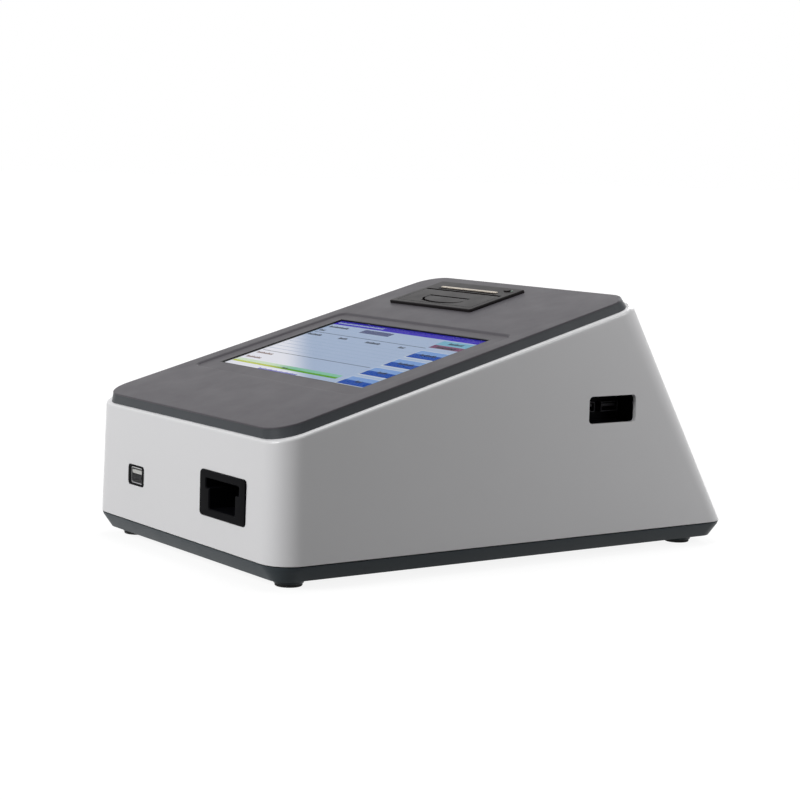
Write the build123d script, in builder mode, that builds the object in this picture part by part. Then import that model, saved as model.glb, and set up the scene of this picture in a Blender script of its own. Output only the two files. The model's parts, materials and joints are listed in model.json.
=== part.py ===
from build123d import *
import os
from math import acos, cos, pi, radians, sin, tan

# Desktop rapid test reader. Millimetres, +Z up, the front face looks along -Y.
# Origin: centre of the footprint, on the surface that the feet stand on.

# ---------------------------------------------------------------- driving sizes
case_width = 211.0          # at the seam between base and shell
case_depth = 332.0          # at the seam
case_corner = 16.5          # plan radius of the upright corners
rear_rim_corner = 22.0      # plan radius of the rear corners at the top rim
seam_height = 14.0          # lower edge of the white shell
shell_wall = 2.6
side_rim_inset = 2.0        # how far the sides lean in up to the rim
side_draft = 1.2            # degrees, of the rim's rounding
front_draft = 0.8           # degrees
rear_lean = 28.8            # degrees, the back leans forward
rim_radius = 1.8            # rounding of the shell's top rim
rear_rim_radius = 4.0       # rounding above the leaning back
rim_steps = 6               # strips in each rounded rim

panel_slope = 15.3          # degrees, rises towards the back
panel_front_height = 80.5   # front lower edge of the dark band
panel_setback = 2.7         # from the front of the seam to that edge
panel_side_margin = 5.1     # from the side of the seam to the panel's lower edge
panel_rear_margin = 5.2     # from the shell's sharp rear rim to that edge, along the slope
panel_corner = 17.0
panel_taper = 1.7           # how far the panel narrows towards its top, on each side
band_height = 4.9           # dark band under the grey plate
band_width = 6.0
plate_thickness = 0.9       # of the plate's rim above the band
plate_body = 1.8            # inside the band
plate_edge_round = 0.6

base_floor = 2.4
foot_lift = 4.5             # underside of the base above the table
base_crease = 11.8          # where the lip turns into the chamfer
base_lip_top = 13.4
base_inset = 5.6            # chamfer run at the bottom edge
base_margin = 0.4           # base outline inside the shell outline
lap_wall = 1.8
lap_height = 5.0
lap_gap = 0.3

foot_radius = 8.2
foot_flare = 10.8
foot_boss_bottom = 1.8
foot_pad_radius = 7.6
foot_pad_recess = 0.9
foot_side_inset = 19.5      # from the sides of the seam
foot_inset = 20.0           # from the front of the seam
rear_foot_inset = 26.0

screw_side_inset = 14.0
screw_end_inset = 54.0
screw_post_radius = 4.0
screw_radius = 1.5
screw_head_radius = 2.9
screw_head_height = 1.9
screw_gap = 0.06

fit_gap = 0.3               # moving pieces
seat_gap = 0.15             # pieces that are pushed into a seat

# touchscreen
window_size = (152.8, 91.6)
window_share = 0.4575       # centre of the window, as a share of the panel's length
recess_margin = (13.5, 9.4)  # in front of the window and behind it
recess_depth = 1.1
recess_floor = 0.8
recess_corner = 6.5
recess_draft = 45.0         # degrees, sloping walls
recess_round = 1.8
gasket_width = 0.8
glass_margin = 3.0
glass_thickness = 1.1
display_margin = 0.3
display_thickness = 5.4
cable_notch = 12.0
bracket_thickness = 1.2
bracket_rib = 12.0
bracket_rim = 2.4           # from the middle of a post to the bracket's edge
bracket_post_radius = 2.0

# cassette port and tray
port_x = 48.2
port_z = 43.6
port_size = (48.6, 25.8)
port_corner = 2.6
port_proud = 1.0
port_seat_depth = 1.7
slot_wing = (35.2, 5.6)     # upper, wider part of the T-shaped slot
slot_stem = (27.6, 11.4)
tray_setback = 20.0         # from the front of the seam to the tray's nose
tray_length = 100.0
tray_wing_thickness = 1.7
cassette_pocket = (23.0, 70.0, 2.6)
guide_wall = 4.6
guide_floor = 2.0
guide_length = 126.0
guide_leg = 3.0
head_setback = 107.5        # from the front of the seam to the middle of the optical head

# rack and pinion
rack_module = 1.0
rack_teeth = 29
pinion_teeth = 18
pinion_setback = 34.5       # from the front of the seam
pinion_width = 5.0
rack_width = 6.6
rack_back = 1.6             # solid strip above the teeth
rack_lift = 0.4             # tooth tips above the underside of the tray
tray_motor_radius = 5.1
tray_motor_length = 20.0
drive_shaft_radius = 1.5

# memory chip socket at the front left
chip_x = -51.6
chip_z = 41.5
chip_size = (19.3, 12.2)
chip_corner = 2.2
chip_depth = 13.0
chip_socket = (13.4, 9.6)
chip_socket_wall = 0.5
chip_flange_setback = 0.5   # from the front of the seam to the face of the socket's frame
chip_metal_setback = 0.4    # from that face to the contact shell's rim
chip_tongue = (12.0, 2.1)

# side port bay
bay_rear_setback = 99.9      # from the back of the seam to the middle of the bay
bay_z = 87.9
bay_size = (36.4, 16.2)
bay_corner = 2.6
bay_depth = 15.0
bay_wall = 1.6
usb_size = (13.2, 5.8)
usb_length = 12.0
usb_wall = 0.4

# rear port recess
rear_x_half = 58.0
rear_z = (19.0, 41.0)
rear_plate_setback = 26.0    # from the back of the seam
rear_wall = 1.6
inlet_x = -44.0
switch_x = -22.0
network_x = 8.0
rear_usb_x = 34.0
rocker_size = (13.0, 9.0)
rocker_axle_radius = 0.9

# main circuit board
board_size = (150.0, 112.0)
board_rear_setback = 86.0    # from the back of the seam to the middle of the board
board_thickness = 1.6
board_standoff = 12.2

# thermal printer in the top panel
printer_u = -29.6
printer_rear_margin = 36.3   # from the panel's rear edge to the middle of the printer
printer_size = (85.3, 44.6)
printer_proud = 1.9
printer_corner = 1.4
printer_body = (80.0, 42.0)
printer_depth = 34.0
printer_wall = 1.6
skirt_depth = 3.0
door_size_u = 76.0
door_front = -18.5           # these places count along the slope from the printer's middle
hinge_place = 4.7
door_thickness = 1.9
hinge_pin_radius = 0.8
latch_half_width = 20.6
latch_rear = -4.3
latch_front = -13.3
latch_bulge = -17.5
latch_lip_gap = 2.2
latch_thickness = 1.3
latch_pin_radius = 0.6
latch_pad_depth = 3.2
paper_slot = (8.1, 9.5)
tear_bar_place = 10.2
tear_bar_size = (57.0, 1.5, 0.6)
tear_tooth_pitch = 1.5
paper_width = 57.0
paper_radius = 12.0
paper_core_radius = 6.0
paper_place = (-5.8, -17.0)  # along the slope, above the plate's top
platen_place = (14.2, -9.0)
platen_radius = 3.2
platen_axle_radius = 1.5
cheek_wall = 1.5
cheek_gap = 0.9
gear_module = 0.5
platen_teeth = 18
feed_teeth = 14
feed_gear_width = 3.0
feed_motor_radius = 4.4
feed_shaft_radius = 1.0
button_size = (5.6, 3.2)
button_u = 2.8
lamp_u = 7.3
button_place = 16.5
lamp_radius = 0.9

# ---------------------------------------------------------------- derived places
front_y = -case_depth / 2
rear_y = case_depth / 2
half_width = case_width / 2
slope = radians(panel_slope)
lean_tan = tan(radians(rear_lean))
band_rise = panel_front_height - seam_height
rear_slack = case_depth - panel_setback - band_rise * lean_tan
shell_rear_v = rear_slack / (cos(slope) + sin(slope) * lean_tan)
panel_half_width = half_width - panel_side_margin
panel_length = shell_rear_v - panel_rear_margin
window_v = window_share * panel_length
recess_half_width = (window_size[0] / 2 + panel_half_width) / 2
recess_v = (
    window_v - window_size[1] / 2 - recess_margin[0],
    window_v + window_size[1] / 2 + recess_margin[1],
)
printer_v = panel_length - printer_rear_margin
door_front_v = printer_v + door_front
hinge_v = printer_v + hinge_place
latch_rear_v = printer_v + latch_rear
latch_front_v = printer_v + latch_front
latch_bulge_v = printer_v + latch_bulge
paper_slot_v = (printer_v + paper_slot[0], printer_v + paper_slot[1])
tear_bar_v = printer_v + tear_bar_place
paper_center = (printer_v + paper_place[0], paper_place[1])
platen_center = (printer_v + platen_place[0], platen_place[1])
button_uv = (button_u, printer_v + button_place)
lamp_uv = (lamp_u, printer_v + button_place)
pinion_y = front_y + pinion_setback
head_y = front_y + head_setback
bay_y = rear_y - bay_rear_setback
rear_plate_y = rear_y - rear_plate_setback
board_y = rear_y - board_rear_setback
foot_x = half_width - foot_side_inset
screw_post_x = half_width - screw_side_inset
screw_post_y = rear_y - screw_end_inset
band_plane = Plane(
    origin=(0, front_y + panel_setback, panel_front_height),
    x_dir=(1, 0, 0),
    z_dir=(0, -sin(slope), cos(slope)),
)
plate_plane = band_plane.offset(band_height)
top_plane = plate_plane.offset(plate_thickness)
floor_top = foot_lift + base_floor
os.makedirs("parts", exist_ok=True)


def save(piece, name):
    """Labels one finished piece and writes its STEP file."""
    piece.part.label = name
    export_step(piece.part, f"parts/{name}.step")


def slope_point(u, v, height=0.0):
    """World point of a place on the sloping top surface."""
    return top_plane.from_local_coords((u, v, height))


def slope_plane(u, v, height=0.0):
    """Plane parallel to the top surface, with its origin at a place on it."""
    return Plane(origin=slope_point(u, v, height), x_dir=(1, 0, 0), z_dir=top_plane.z_dir)


def side_plane(x, y=0.0, z=0.0):
    """Plane across the width: local x runs back, local y runs up."""
    return Plane(origin=(x, y, z), x_dir=(0, 1, 0), z_dir=(1, 0, 0))


def slope_side_plane(u, v, height):
    """Plane across the width in the slope's own directions."""
    return Plane(
        origin=slope_point(u, v, height),
        x_dir=top_plane.y_dir,
        z_dir=(1, 0, 0),
    )


def front_plane(y):
    """Upright plane that faces the front: local x runs right, local y runs up."""
    return Plane(origin=(0, y, 0), x_dir=(1, 0, 0), z_dir=(0, -1, 0))


def gear_outline(teeth, module, shift=0.0, clearance_share=0.1):
    """Points of a spur gear with straight-sided teeth, turned by a share of the tooth step."""
    pitch_radius = teeth * module / 2
    tip_radius = pitch_radius + 0.8 * module
    root_radius = pitch_radius - 1.1 * module
    step = 2 * pi / teeth
    root_half = step * (0.30 - clearance_share / 4)
    tip_half = step * (0.15 - clearance_share / 4)
    points = []
    for index in range(teeth):
        middle = pi / 2 + (index + shift) * step
        for radius, offset in (
            (root_radius, -root_half),
            (tip_radius, -tip_half),
            (tip_radius, tip_half),
            (root_radius, root_half),
        ):
            angle = middle + offset
            points.append((radius * cos(angle), radius * sin(angle)))
    return points


# ---------------------------------------------------------------- white shell
front_lean = panel_slope + front_draft
rear_tilt = rear_lean - panel_slope
front_rim_setback = band_rise * tan(radians(front_draft))
shell_front_v = -(panel_setback - front_rim_setback) / cos(slope)
shell_half = half_width - side_rim_inset


def ring_outline(half, low, high, front_corner, rear_corner):
    """Rectangle whose front and rear corners have their own radii."""
    with BuildSketch(Plane.XY) as outline:
        with Locations((0, (low + high) / 2)):
            Rectangle(2 * half, high - low)
        fillet(outline.vertices().group_by(Axis.Y)[0], radius=front_corner)
        fillet(outline.vertices().group_by(Axis.Y)[-1], radius=rear_corner)
    return outline.sketch_local


def edge_offset(depth, radius, lean):
    """How far the outline lies outside the sharp edge, at a depth below the rim plane."""
    lean_angle = radians(lean)
    if depth >= radius * (1 - sin(lean_angle)):
        return depth * tan(lean_angle)
    turn = acos(1 - depth / radius)
    return radius * sin(turn) - radius * (1 - sin(lean_angle)) / cos(lean_angle)


def shell_ring(depth, inset=0.0, rounded=True):
    """Outline of the shell in a plane parallel to the top, below the rim plane."""
    rim = rim_radius if rounded else 0.001
    rear_rim = rear_rim_radius if rounded else 0.001
    side = edge_offset(depth, rim, side_draft) - inset
    low = shell_front_v - edge_offset(depth, rim, front_lean) + inset
    high = shell_rear_v + edge_offset(depth, rear_rim, rear_tilt) - inset
    half = shell_half + side
    with BuildSketch(band_plane.offset(-depth)) as ring:
        add(ring_outline(half, low, high, case_corner + side, rear_rim_corner + side))
    return ring


def seam_ring(height, inset):
    """Outline of the case in a level plane."""
    corner = case_corner - inset
    with BuildSketch(Plane.XY.offset(height)) as ring:
        add(ring_outline(half_width - inset, front_y + inset, rear_y - inset, corner, corner))
    return ring


rim_depths = [rim_radius * (1 - cos(radians(90 * k / rim_steps))) for k in range(rim_steps + 1)]
rear_end = rear_rim_radius * (1 - sin(radians(rear_tilt)))
rim_depths += [rim_radius + (rear_end - rim_radius) * k / 3 for k in (1, 2, 3)]
outer_rings = [seam_ring(seam_height, 0.0)] + [shell_ring(d) for d in reversed(rim_depths)]
land_thickness = 3.0
inner_rings = [
    seam_ring(seam_height, shell_wall),
    shell_ring(land_thickness, shell_wall, rounded=False),
]
opening_margin = 5.5

with BuildPart() as upper_shell:
    loft(sections=[ring.sketch for ring in outer_rings], ruled=True)
    loft(sections=[ring.sketch for ring in inner_rings], ruled=True, mode=Mode.SUBTRACT)
    with BuildSketch(band_plane.offset(1.0)):
        with Locations((0, panel_length / 2)):
            RectangleRounded(
                2 * (panel_half_width - opening_margin),
                panel_length - 2 * opening_margin,
                panel_corner - opening_margin,
            )
    extrude(amount=-(land_thickness + 3.0), mode=Mode.SUBTRACT)
    for side in (-1, 1):
        for y in (-screw_post_y, screw_post_y):
            with BuildSketch(Plane.XY.offset(seam_height)):
                with Locations((side * screw_post_x, y)):
                    Circle(screw_post_radius)
                rib_end = half_width - shell_wall + 0.6
                rib_middle = side * (screw_post_x + rib_end) / 2
                with Locations((rib_middle, y)):
                    Rectangle(rib_end - screw_post_x, 2.0)
            extrude(amount=46.0)
            with BuildSketch(Plane.XY.offset(seam_height)):
                with Locations((side * screw_post_x, y)):
                    Circle(screw_radius + screw_gap)
            extrude(amount=12.0, mode=Mode.SUBTRACT)
    # cassette port: through cut and a flat seat for the bezel
    with BuildSketch(front_plane(front_y - 1.0)):
        with Locations((port_x, port_z)):
            RectangleRounded(port_size[0] - 4.0, port_size[1] - 4.0, port_corner - 1.0)
    extrude(amount=-12.0, mode=Mode.SUBTRACT)
    with BuildSketch(front_plane(front_y - 1.0)):
        with Locations((port_x, port_z)):
            RectangleRounded(port_size[0] + seat_gap, port_size[1] + seat_gap, port_corner)
    extrude(amount=-(port_seat_depth + 1.0), mode=Mode.SUBTRACT)
    # memory chip opening
    with BuildSketch(front_plane(front_y - 1.0)):
        with Locations((chip_x, chip_z)):
            RectangleRounded(chip_size[0], chip_size[1], chip_corner)
    extrude(amount=-12.0, mode=Mode.SUBTRACT)
    # side port bay
    with BuildSketch(side_plane(half_width + 2.0)):
        with Locations((bay_y, bay_z)):
            RectangleRounded(bay_size[0], bay_size[1], bay_corner)
    extrude(amount=-12.0, mode=Mode.SUBTRACT)
    # rear port recess
    with BuildSketch(front_plane(rear_y + 10.0)):
        with Locations((0, sum(rear_z) / 2)):
            RectangleRounded(2 * rear_x_half, rear_z[1] - rear_z[0], 3.0)
    extrude(amount=45.0, mode=Mode.SUBTRACT)
save(upper_shell, "upper_shell")

# ---------------------------------------------------------------- base tray
base_rings = [
    seam_ring(foot_lift, base_margin + base_inset),
    seam_ring(base_crease, base_margin + 0.5),
    seam_ring(base_lip_top, base_margin - 0.1),
]
feet = [
    (side * foot_x, y)
    for side in (-1, 1)
    for y in (front_y + foot_inset, rear_y - rear_foot_inset)
]
screw_places = [(side * screw_post_x, y) for side in (-1, 1) for y in (-screw_post_y, screw_post_y)]
board_holes = [
    (sx * (board_size[0] / 2 - 5.0), board_y + sy * (board_size[1] / 2 - 5.0))
    for sx in (-1, 1)
    for sy in (-1, 1)
]
screw_boss_top = seam_height - 0.4
with BuildPart() as base_tray:
    loft(sections=[ring.sketch for ring in base_rings], ruled=True)
    with BuildSketch(Plane.XY.offset(floor_top)):
        RectangleRounded(
            case_width - 2 * (base_margin + base_inset + 1.4),
            case_depth - 2 * (base_margin + base_inset + 1.4),
            case_corner - base_inset - 1.4,
        )
    extrude(amount=base_lip_top, mode=Mode.SUBTRACT)
    lap_inset = shell_wall + lap_gap
    lap_lean = (base_lip_top + lap_height - seam_height) * lean_tan + 0.2
    lap_depth = case_depth - 2 * lap_inset - lap_lean
    with BuildSketch(Plane.XY.offset(base_crease - 1.0)):
        with Locations((0, -lap_lean / 2)):
            RectangleRounded(case_width - 2 * lap_inset, lap_depth, case_corner - lap_inset)
            RectangleRounded(
                case_width - 2 * (lap_inset + lap_wall),
                lap_depth - 2 * lap_wall,
                case_corner - lap_inset - lap_wall,
                mode=Mode.SUBTRACT,
            )
    extrude(amount=base_lip_top - base_crease + 1.0 + lap_height)
    # the lap ring leaves room for the shell's screw ribs
    for x, y in screw_places:
        with BuildSketch(Plane.XY.offset(seam_height - 0.8)):
            with Locations((x * 1.08, y)):
                Rectangle(26.0, 10.0)
        extrude(amount=lap_height + 1.0, mode=Mode.SUBTRACT)
    with BuildSketch(Plane.XY.offset(floor_top - 0.2)):
        with Locations(*screw_places):
            Circle(screw_post_radius + 1.0)
    extrude(amount=screw_boss_top - floor_top + 0.2)
    with BuildSketch(Plane.XY.offset(floor_top - 0.2)):
        with Locations(*board_holes):
            Circle(3.2)
    extrude(amount=board_standoff + 0.2)
    for x, y in feet:
        with BuildSketch(Plane.XY.offset(foot_lift + 0.4)):
            with Locations((x, y)):
                Circle(foot_flare)
        with BuildSketch(Plane.XY.offset(foot_lift - 0.9)):
            with Locations((x, y)):
                Circle(foot_radius + 0.8)
        with BuildSketch(Plane.XY.offset(foot_boss_bottom)):
            with Locations((x, y)):
                Circle(foot_radius)
        loft(ruled=True)
    with BuildSketch(Plane.XY.offset(foot_boss_bottom)):
        with Locations(*feet):
            Circle(foot_pad_radius + seat_gap)
    extrude(amount=foot_pad_recess, mode=Mode.SUBTRACT)
    with BuildSketch(Plane.XY.offset(foot_lift - 1.0)):
        with Locations(*screw_places):
            Circle(screw_radius + 0.2)
    extrude(amount=20.0, mode=Mode.SUBTRACT)
    with BuildSketch(Plane.XY.offset(foot_lift - 1.0)):
        with Locations(*screw_places):
            Circle(screw_head_radius + 0.4)
    extrude(amount=1.0 + screw_head_height + 0.6, mode=Mode.SUBTRACT)
    with BuildSketch(Plane.XY.offset(floor_top + 1.0)):
        with Locations(*board_holes):
            Circle(1.0 + screw_gap)
    extrude(amount=board_standoff, mode=Mode.SUBTRACT)
save(base_tray, "base_tray")

foot_names = ("foot_front_left", "foot_rear_left", "foot_front_right", "foot_rear_right")
for foot_name, (x, y) in zip(foot_names, feet):
    with BuildPart() as foot_pad:
        with BuildSketch():
            with Locations((x, y)):
                Circle(foot_pad_radius)
        extrude(amount=foot_boss_bottom + foot_pad_recess)
        rim = foot_pad.edges().group_by(Axis.Z)[0]
        fillet(rim, radius=0.7)
    save(foot_pad, foot_name)


def pan_screw(shank, radius, head_radius, head_height):
    """Pan head screw along Z: the shank runs down from the underside of the head at zero."""
    with BuildPart() as screw:
        Cylinder(head_radius, head_height, align=(Align.CENTER, Align.CENTER, Align.MIN))
        Cylinder(radius, shank, align=(Align.CENTER, Align.CENTER, Align.MAX))
        with BuildSketch(Plane.XY.offset(head_height)):
            Rectangle(head_radius * 1.2, 0.6)
            Rectangle(0.6, head_radius * 1.2)
        extrude(amount=-0.9, mode=Mode.SUBTRACT)
    return screw.part


base_screw_head = foot_lift + screw_head_height + 0.6
base_screw = pan_screw(15.0, screw_radius, screw_head_radius, screw_head_height)
base_screw = base_screw.rotate(Axis.X, 180)
with BuildPart() as base_screws:
    with Locations(*[(x, y, base_screw_head) for x, y in screw_places]):
        add(base_screw)
save(base_screws, "base_screws")

# ---------------------------------------------------------------- top panel
def panel_outline(inset, corner):
    """Outline of the panel, made smaller all round by inset."""
    with Locations((0, panel_length / 2)):
        RectangleRounded(2 * (panel_half_width - inset), panel_length - 2 * inset, corner)


rim_inset = panel_taper * band_height / (band_height + plate_thickness)
with BuildPart() as panel_band:
    with BuildSketch(band_plane):
        panel_outline(0.0, panel_corner)
    with BuildSketch(plate_plane):
        panel_outline(rim_inset, panel_corner)
    loft(ruled=True)
    with BuildSketch(band_plane):
        panel_outline(band_width, panel_corner - band_width)
    extrude(amount=band_height, mode=Mode.SUBTRACT)
save(panel_band, "panel_band")

recess_length = recess_v[1] - recess_v[0]
recess_middle = sum(recess_v) / 2
tub_drop = recess_depth + recess_floor
with BuildPart() as top_panel:
    with BuildSketch(plate_plane):
        panel_outline(rim_inset, panel_corner)
    extrude(amount=plate_thickness)
    fillet(top_panel.faces().sort_by(Axis((0, 0, 0), tuple(top_plane.z_dir)))[-1].edges(), plate_edge_round)
    with BuildSketch(top_plane.offset(-plate_body)):
        panel_outline(band_width + seat_gap, panel_corner - band_width - seat_gap)
    extrude(amount=plate_body - 0.3)
    with BuildSketch(top_plane.offset(-tub_drop)):
        with Locations((0, recess_middle)):
            RectangleRounded(2 * recess_half_width, recess_length, recess_corner)
    extrude(amount=tub_drop - 0.3)
    with BuildSketch(top_plane):
        with Locations((0, recess_middle)):
            RectangleRounded(2 * recess_half_width, recess_length, recess_corner)
    extrude(amount=-recess_depth, taper=recess_draft, mode=Mode.SUBTRACT)
    recess_rim = (
        top_panel.edges()
        .filter_by(lambda e: abs(top_plane.to_local_coords(e.center()).Z) < 1e-3)
        .filter_by(lambda e: abs(top_plane.to_local_coords(e.center()).X) < recess_half_width + 0.1)
        .filter_by(lambda e: top_plane.to_local_coords(e.center()).Y > recess_v[0] - 0.1)
        .filter_by(lambda e: top_plane.to_local_coords(e.center()).Y < recess_v[1] + 0.1)
    )
    fillet(recess_rim, radius=recess_round)
    with BuildSketch(top_plane):
        with Locations((0, window_v)):
            Rectangle(window_size[0] + 2 * gasket_width, window_size[1] + 2 * gasket_width)
        with Locations((printer_u, printer_v)):
            Rectangle(printer_body[0] + 2 * seat_gap, printer_body[1] + 2 * seat_gap)
    extrude(amount=-tub_drop - 1.0, mode=Mode.SUBTRACT)
save(top_panel, "top_panel")

with BuildPart() as screen_gasket:
    with BuildSketch(top_plane.offset(-tub_drop)):
        with Locations((0, window_v)):
            Rectangle(window_size[0] + 2 * gasket_width, window_size[1] + 2 * gasket_width)
            Rectangle(window_size[0], window_size[1], mode=Mode.SUBTRACT)
    extrude(amount=recess_floor)
save(screen_gasket, "screen_gasket")

glass_size = (window_size[0] + 2 * glass_margin, window_size[1] + 2 * glass_margin)
with BuildPart() as touch_glass:
    with BuildSketch(top_plane.offset(-tub_drop)):
        with Locations((0, window_v)):
            RectangleRounded(glass_size[0], glass_size[1], 1.5)
    extrude(amount=-glass_thickness)
save(touch_glass, "touch_glass")

display_top = tub_drop + glass_thickness
display_size = (glass_size[0] + 2 * display_margin, glass_size[1] + 2 * display_margin)
with BuildPart() as display_module:
    with BuildSketch(top_plane.offset(-display_top)):
        with Locations((0, window_v)):
            Rectangle(display_size[0], display_size[1])
    extrude(amount=-display_thickness)
    with BuildSketch(top_plane.offset(-display_top - display_thickness)):
        with Locations((-display_size[0] / 8, window_v - (display_size[1] - cable_notch) / 2 + 2.0)):
            Rectangle(display_size[0] * 0.4, cable_notch)
    extrude(amount=1.0, mode=Mode.SUBTRACT)
save(display_module, "display_module")

post_reach = bracket_post_radius + 0.4
post_half = (display_size[0] / 2 + post_reach, display_size[1] / 2 + post_reach)
bracket_size = (2 * (post_half[0] + bracket_rim), 2 * (post_half[1] + bracket_rim))
bracket_opening = ((bracket_size[0] - 3 * bracket_rib) / 2, (bracket_size[1] - 3 * bracket_rib) / 2)
bracket_drop = display_top + display_thickness
bracket_places = [
    (sx * post_half[0], window_v + sy * post_half[1])
    for sx in (-1, 1)
    for sy in (-1, 1)
]
with BuildPart() as display_bracket:
    with BuildSketch(top_plane.offset(-bracket_drop)):
        with Locations((0, window_v)):
            RectangleRounded(bracket_size[0], bracket_size[1], 2.0)
            with GridLocations(bracket_opening[0] + bracket_rib, bracket_opening[1] + bracket_rib, 2, 2):
                RectangleRounded(bracket_opening[0], bracket_opening[1], 3.0, mode=Mode.SUBTRACT)
    extrude(amount=-bracket_thickness)
    with BuildSketch(top_plane.offset(-bracket_drop)):
        with Locations(*bracket_places):
            Circle(bracket_post_radius)
    extrude(amount=bracket_drop - tub_drop)
    with BuildSketch(top_plane.offset(-bracket_drop - bracket_thickness)):
        with Locations(*bracket_places):
            Circle(1.0 + screw_gap)
    extrude(amount=bracket_drop - tub_drop, mode=Mode.SUBTRACT)
save(display_bracket, "display_bracket")

with BuildPart() as bracket_screws:
    with BuildSketch(top_plane.offset(-bracket_drop - bracket_thickness)):
        with Locations(*bracket_places):
            Circle(2.0)
    extrude(amount=-1.2)
    with BuildSketch(top_plane.offset(-bracket_drop - bracket_thickness)):
        with Locations(*bracket_places):
            Circle(1.0)
    extrude(amount=6.0)
save(bracket_screws, "bracket_screws")

# ---------------------------------------------------------------- cassette port
slot_top = port_z + (slot_wing[1] + slot_stem[1]) / 2
slot_shoulder = slot_top - slot_wing[1]
slot_bottom = slot_shoulder - slot_stem[1]
bezel_front_y = front_y - port_proud + 0.6
bezel_seat_y = front_y + port_seat_depth


def slot_outline(grow):
    """T-shaped slot, made larger all round by grow."""
    with Locations((port_x, (slot_top + slot_shoulder) / 2)):
        RectangleRounded(slot_wing[0] + 2 * grow, slot_wing[1] + 2 * grow, 1.0 + max(grow, 0.0))
    with Locations((port_x, (slot_top + slot_bottom) / 2)):
        height = slot_top - slot_bottom + 2 * grow
        RectangleRounded(slot_stem[0] + 2 * grow, height, 1.0 + max(grow, 0.0))


sleeve_wall = 1.4
sleeve_length = 9.0
with BuildPart() as port_bezel:
    with BuildSketch(front_plane(bezel_seat_y)):
        with Locations((port_x, port_z)):
            RectangleRounded(port_size[0], port_size[1], port_corner)
    extrude(amount=bezel_seat_y - bezel_front_y)
    fillet(port_bezel.faces().sort_by(Axis.Y)[0].edges(), radius=0.6)
    with BuildSketch(front_plane(bezel_seat_y)):
        slot_outline(sleeve_wall)
    extrude(amount=-sleeve_length)
    with BuildSketch(front_plane(bezel_front_y - 0.5)):
        slot_outline(0.0)
    extrude(amount=-(sleeve_length + 6.0), mode=Mode.SUBTRACT)
    slot_mouth = port_bezel.edges().filter_by(
        lambda e: abs(e.center().Y - bezel_front_y) < 1e-3
        and abs(e.center().X - port_x) < slot_wing[0] / 2 + 0.2
        and slot_bottom - 0.2 < e.center().Z < slot_top + 0.2
    )
    chamfer(slot_mouth, length=0.6)
save(port_bezel, "port_bezel")

# ---------------------------------------------------------------- tray guide and tray
guide_front = bezel_seat_y + sleeve_length + 0.2
guide_rear = guide_front + guide_length
guide_half = slot_wing[0] / 2 + guide_wall
guide_low = slot_bottom - guide_floor
pinion_slot = (6.4, 21.0)
with BuildPart() as tray_guide:
    with BuildSketch(front_plane(guide_front)):
        with Locations((port_x, (guide_low + slot_top) / 2)):
            Rectangle(2 * guide_half, slot_top - guide_low)
        with Locations((port_x, (slot_bottom + slot_top) / 2 + 1.0)):
            Rectangle(slot_stem[0], slot_top - slot_bottom + 2.0, mode=Mode.SUBTRACT)
        with Locations((port_x, (slot_shoulder + slot_top) / 2 + 1.0)):
            Rectangle(slot_wing[0], slot_top - slot_shoulder + 2.0, mode=Mode.SUBTRACT)
    extrude(amount=-guide_length)
    for y in (guide_front + 4.0, guide_rear - 4.0 - guide_leg):
        with BuildSketch(front_plane(y)):
            with Locations((port_x, (floor_top + guide_low + 0.5) / 2)):
                Rectangle(2 * guide_half, guide_low + 0.5 - floor_top)
        extrude(amount=-guide_leg)
    # the pinion reaches up through the floor of the channel
    with BuildSketch(Plane.XY.offset(guide_low - 1.0)):
        with Locations((port_x, pinion_y)):
            Rectangle(pinion_slot[0], pinion_slot[1])
    extrude(amount=guide_floor + 2.0, mode=Mode.SUBTRACT)
save(tray_guide, "tray_guide")

tray_front = front_y + tray_setback
tray_middle = tray_front + tray_length / 2
tray_low = slot_bottom + fit_gap
tray_wing_low = slot_shoulder + fit_gap
tray_top = tray_wing_low + tray_wing_thickness
rack_pitch_z = tray_low + rack_lift + 0.8 * rack_module
rack_root_z = rack_pitch_z + 1.1 * rack_module
rack_top_z = rack_root_z + rack_back
with BuildPart() as cassette_tray:
    with BuildSketch(Plane.XY.offset(tray_low)):
        with Locations((port_x, tray_middle)):
            Rectangle(slot_stem[0] - 2 * fit_gap, tray_length)
    extrude(amount=tray_top - tray_low)
    with BuildSketch(Plane.XY.offset(tray_wing_low)):
        with Locations((port_x, tray_middle)):
            Rectangle(slot_wing[0] - 2 * fit_gap, tray_length)
    extrude(amount=tray_wing_thickness)
    with BuildSketch(Plane.XY.offset(tray_top)):
        with Locations((port_x, tray_front + 5.0 + cassette_pocket[1] / 2)):
            Rectangle(cassette_pocket[0], cassette_pocket[1])
    extrude(amount=-cassette_pocket[2], mode=Mode.SUBTRACT)
    # groove for the rack along the underside
    with BuildSketch(Plane.XY.offset(tray_low)):
        with Locations((port_x, tray_middle)):
            Rectangle(rack_width, tray_length)
    extrude(amount=rack_top_z - tray_low, mode=Mode.SUBTRACT)
    # finger notch through the nose, and lightening pocket at the back
    with BuildSketch(Plane.XY.offset(tray_top)):
        with Locations((port_x, tray_front)):
            Circle(8.0)
    extrude(amount=-cassette_pocket[2], mode=Mode.SUBTRACT)
    with BuildSketch(Plane.XY.offset(tray_top)):
        with Locations((port_x, tray_front + tray_length - 11.0)):
            Rectangle(cassette_pocket[0], 14.0)
    extrude(amount=-6.0, mode=Mode.SUBTRACT)
save(cassette_tray, "cassette_tray")

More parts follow.
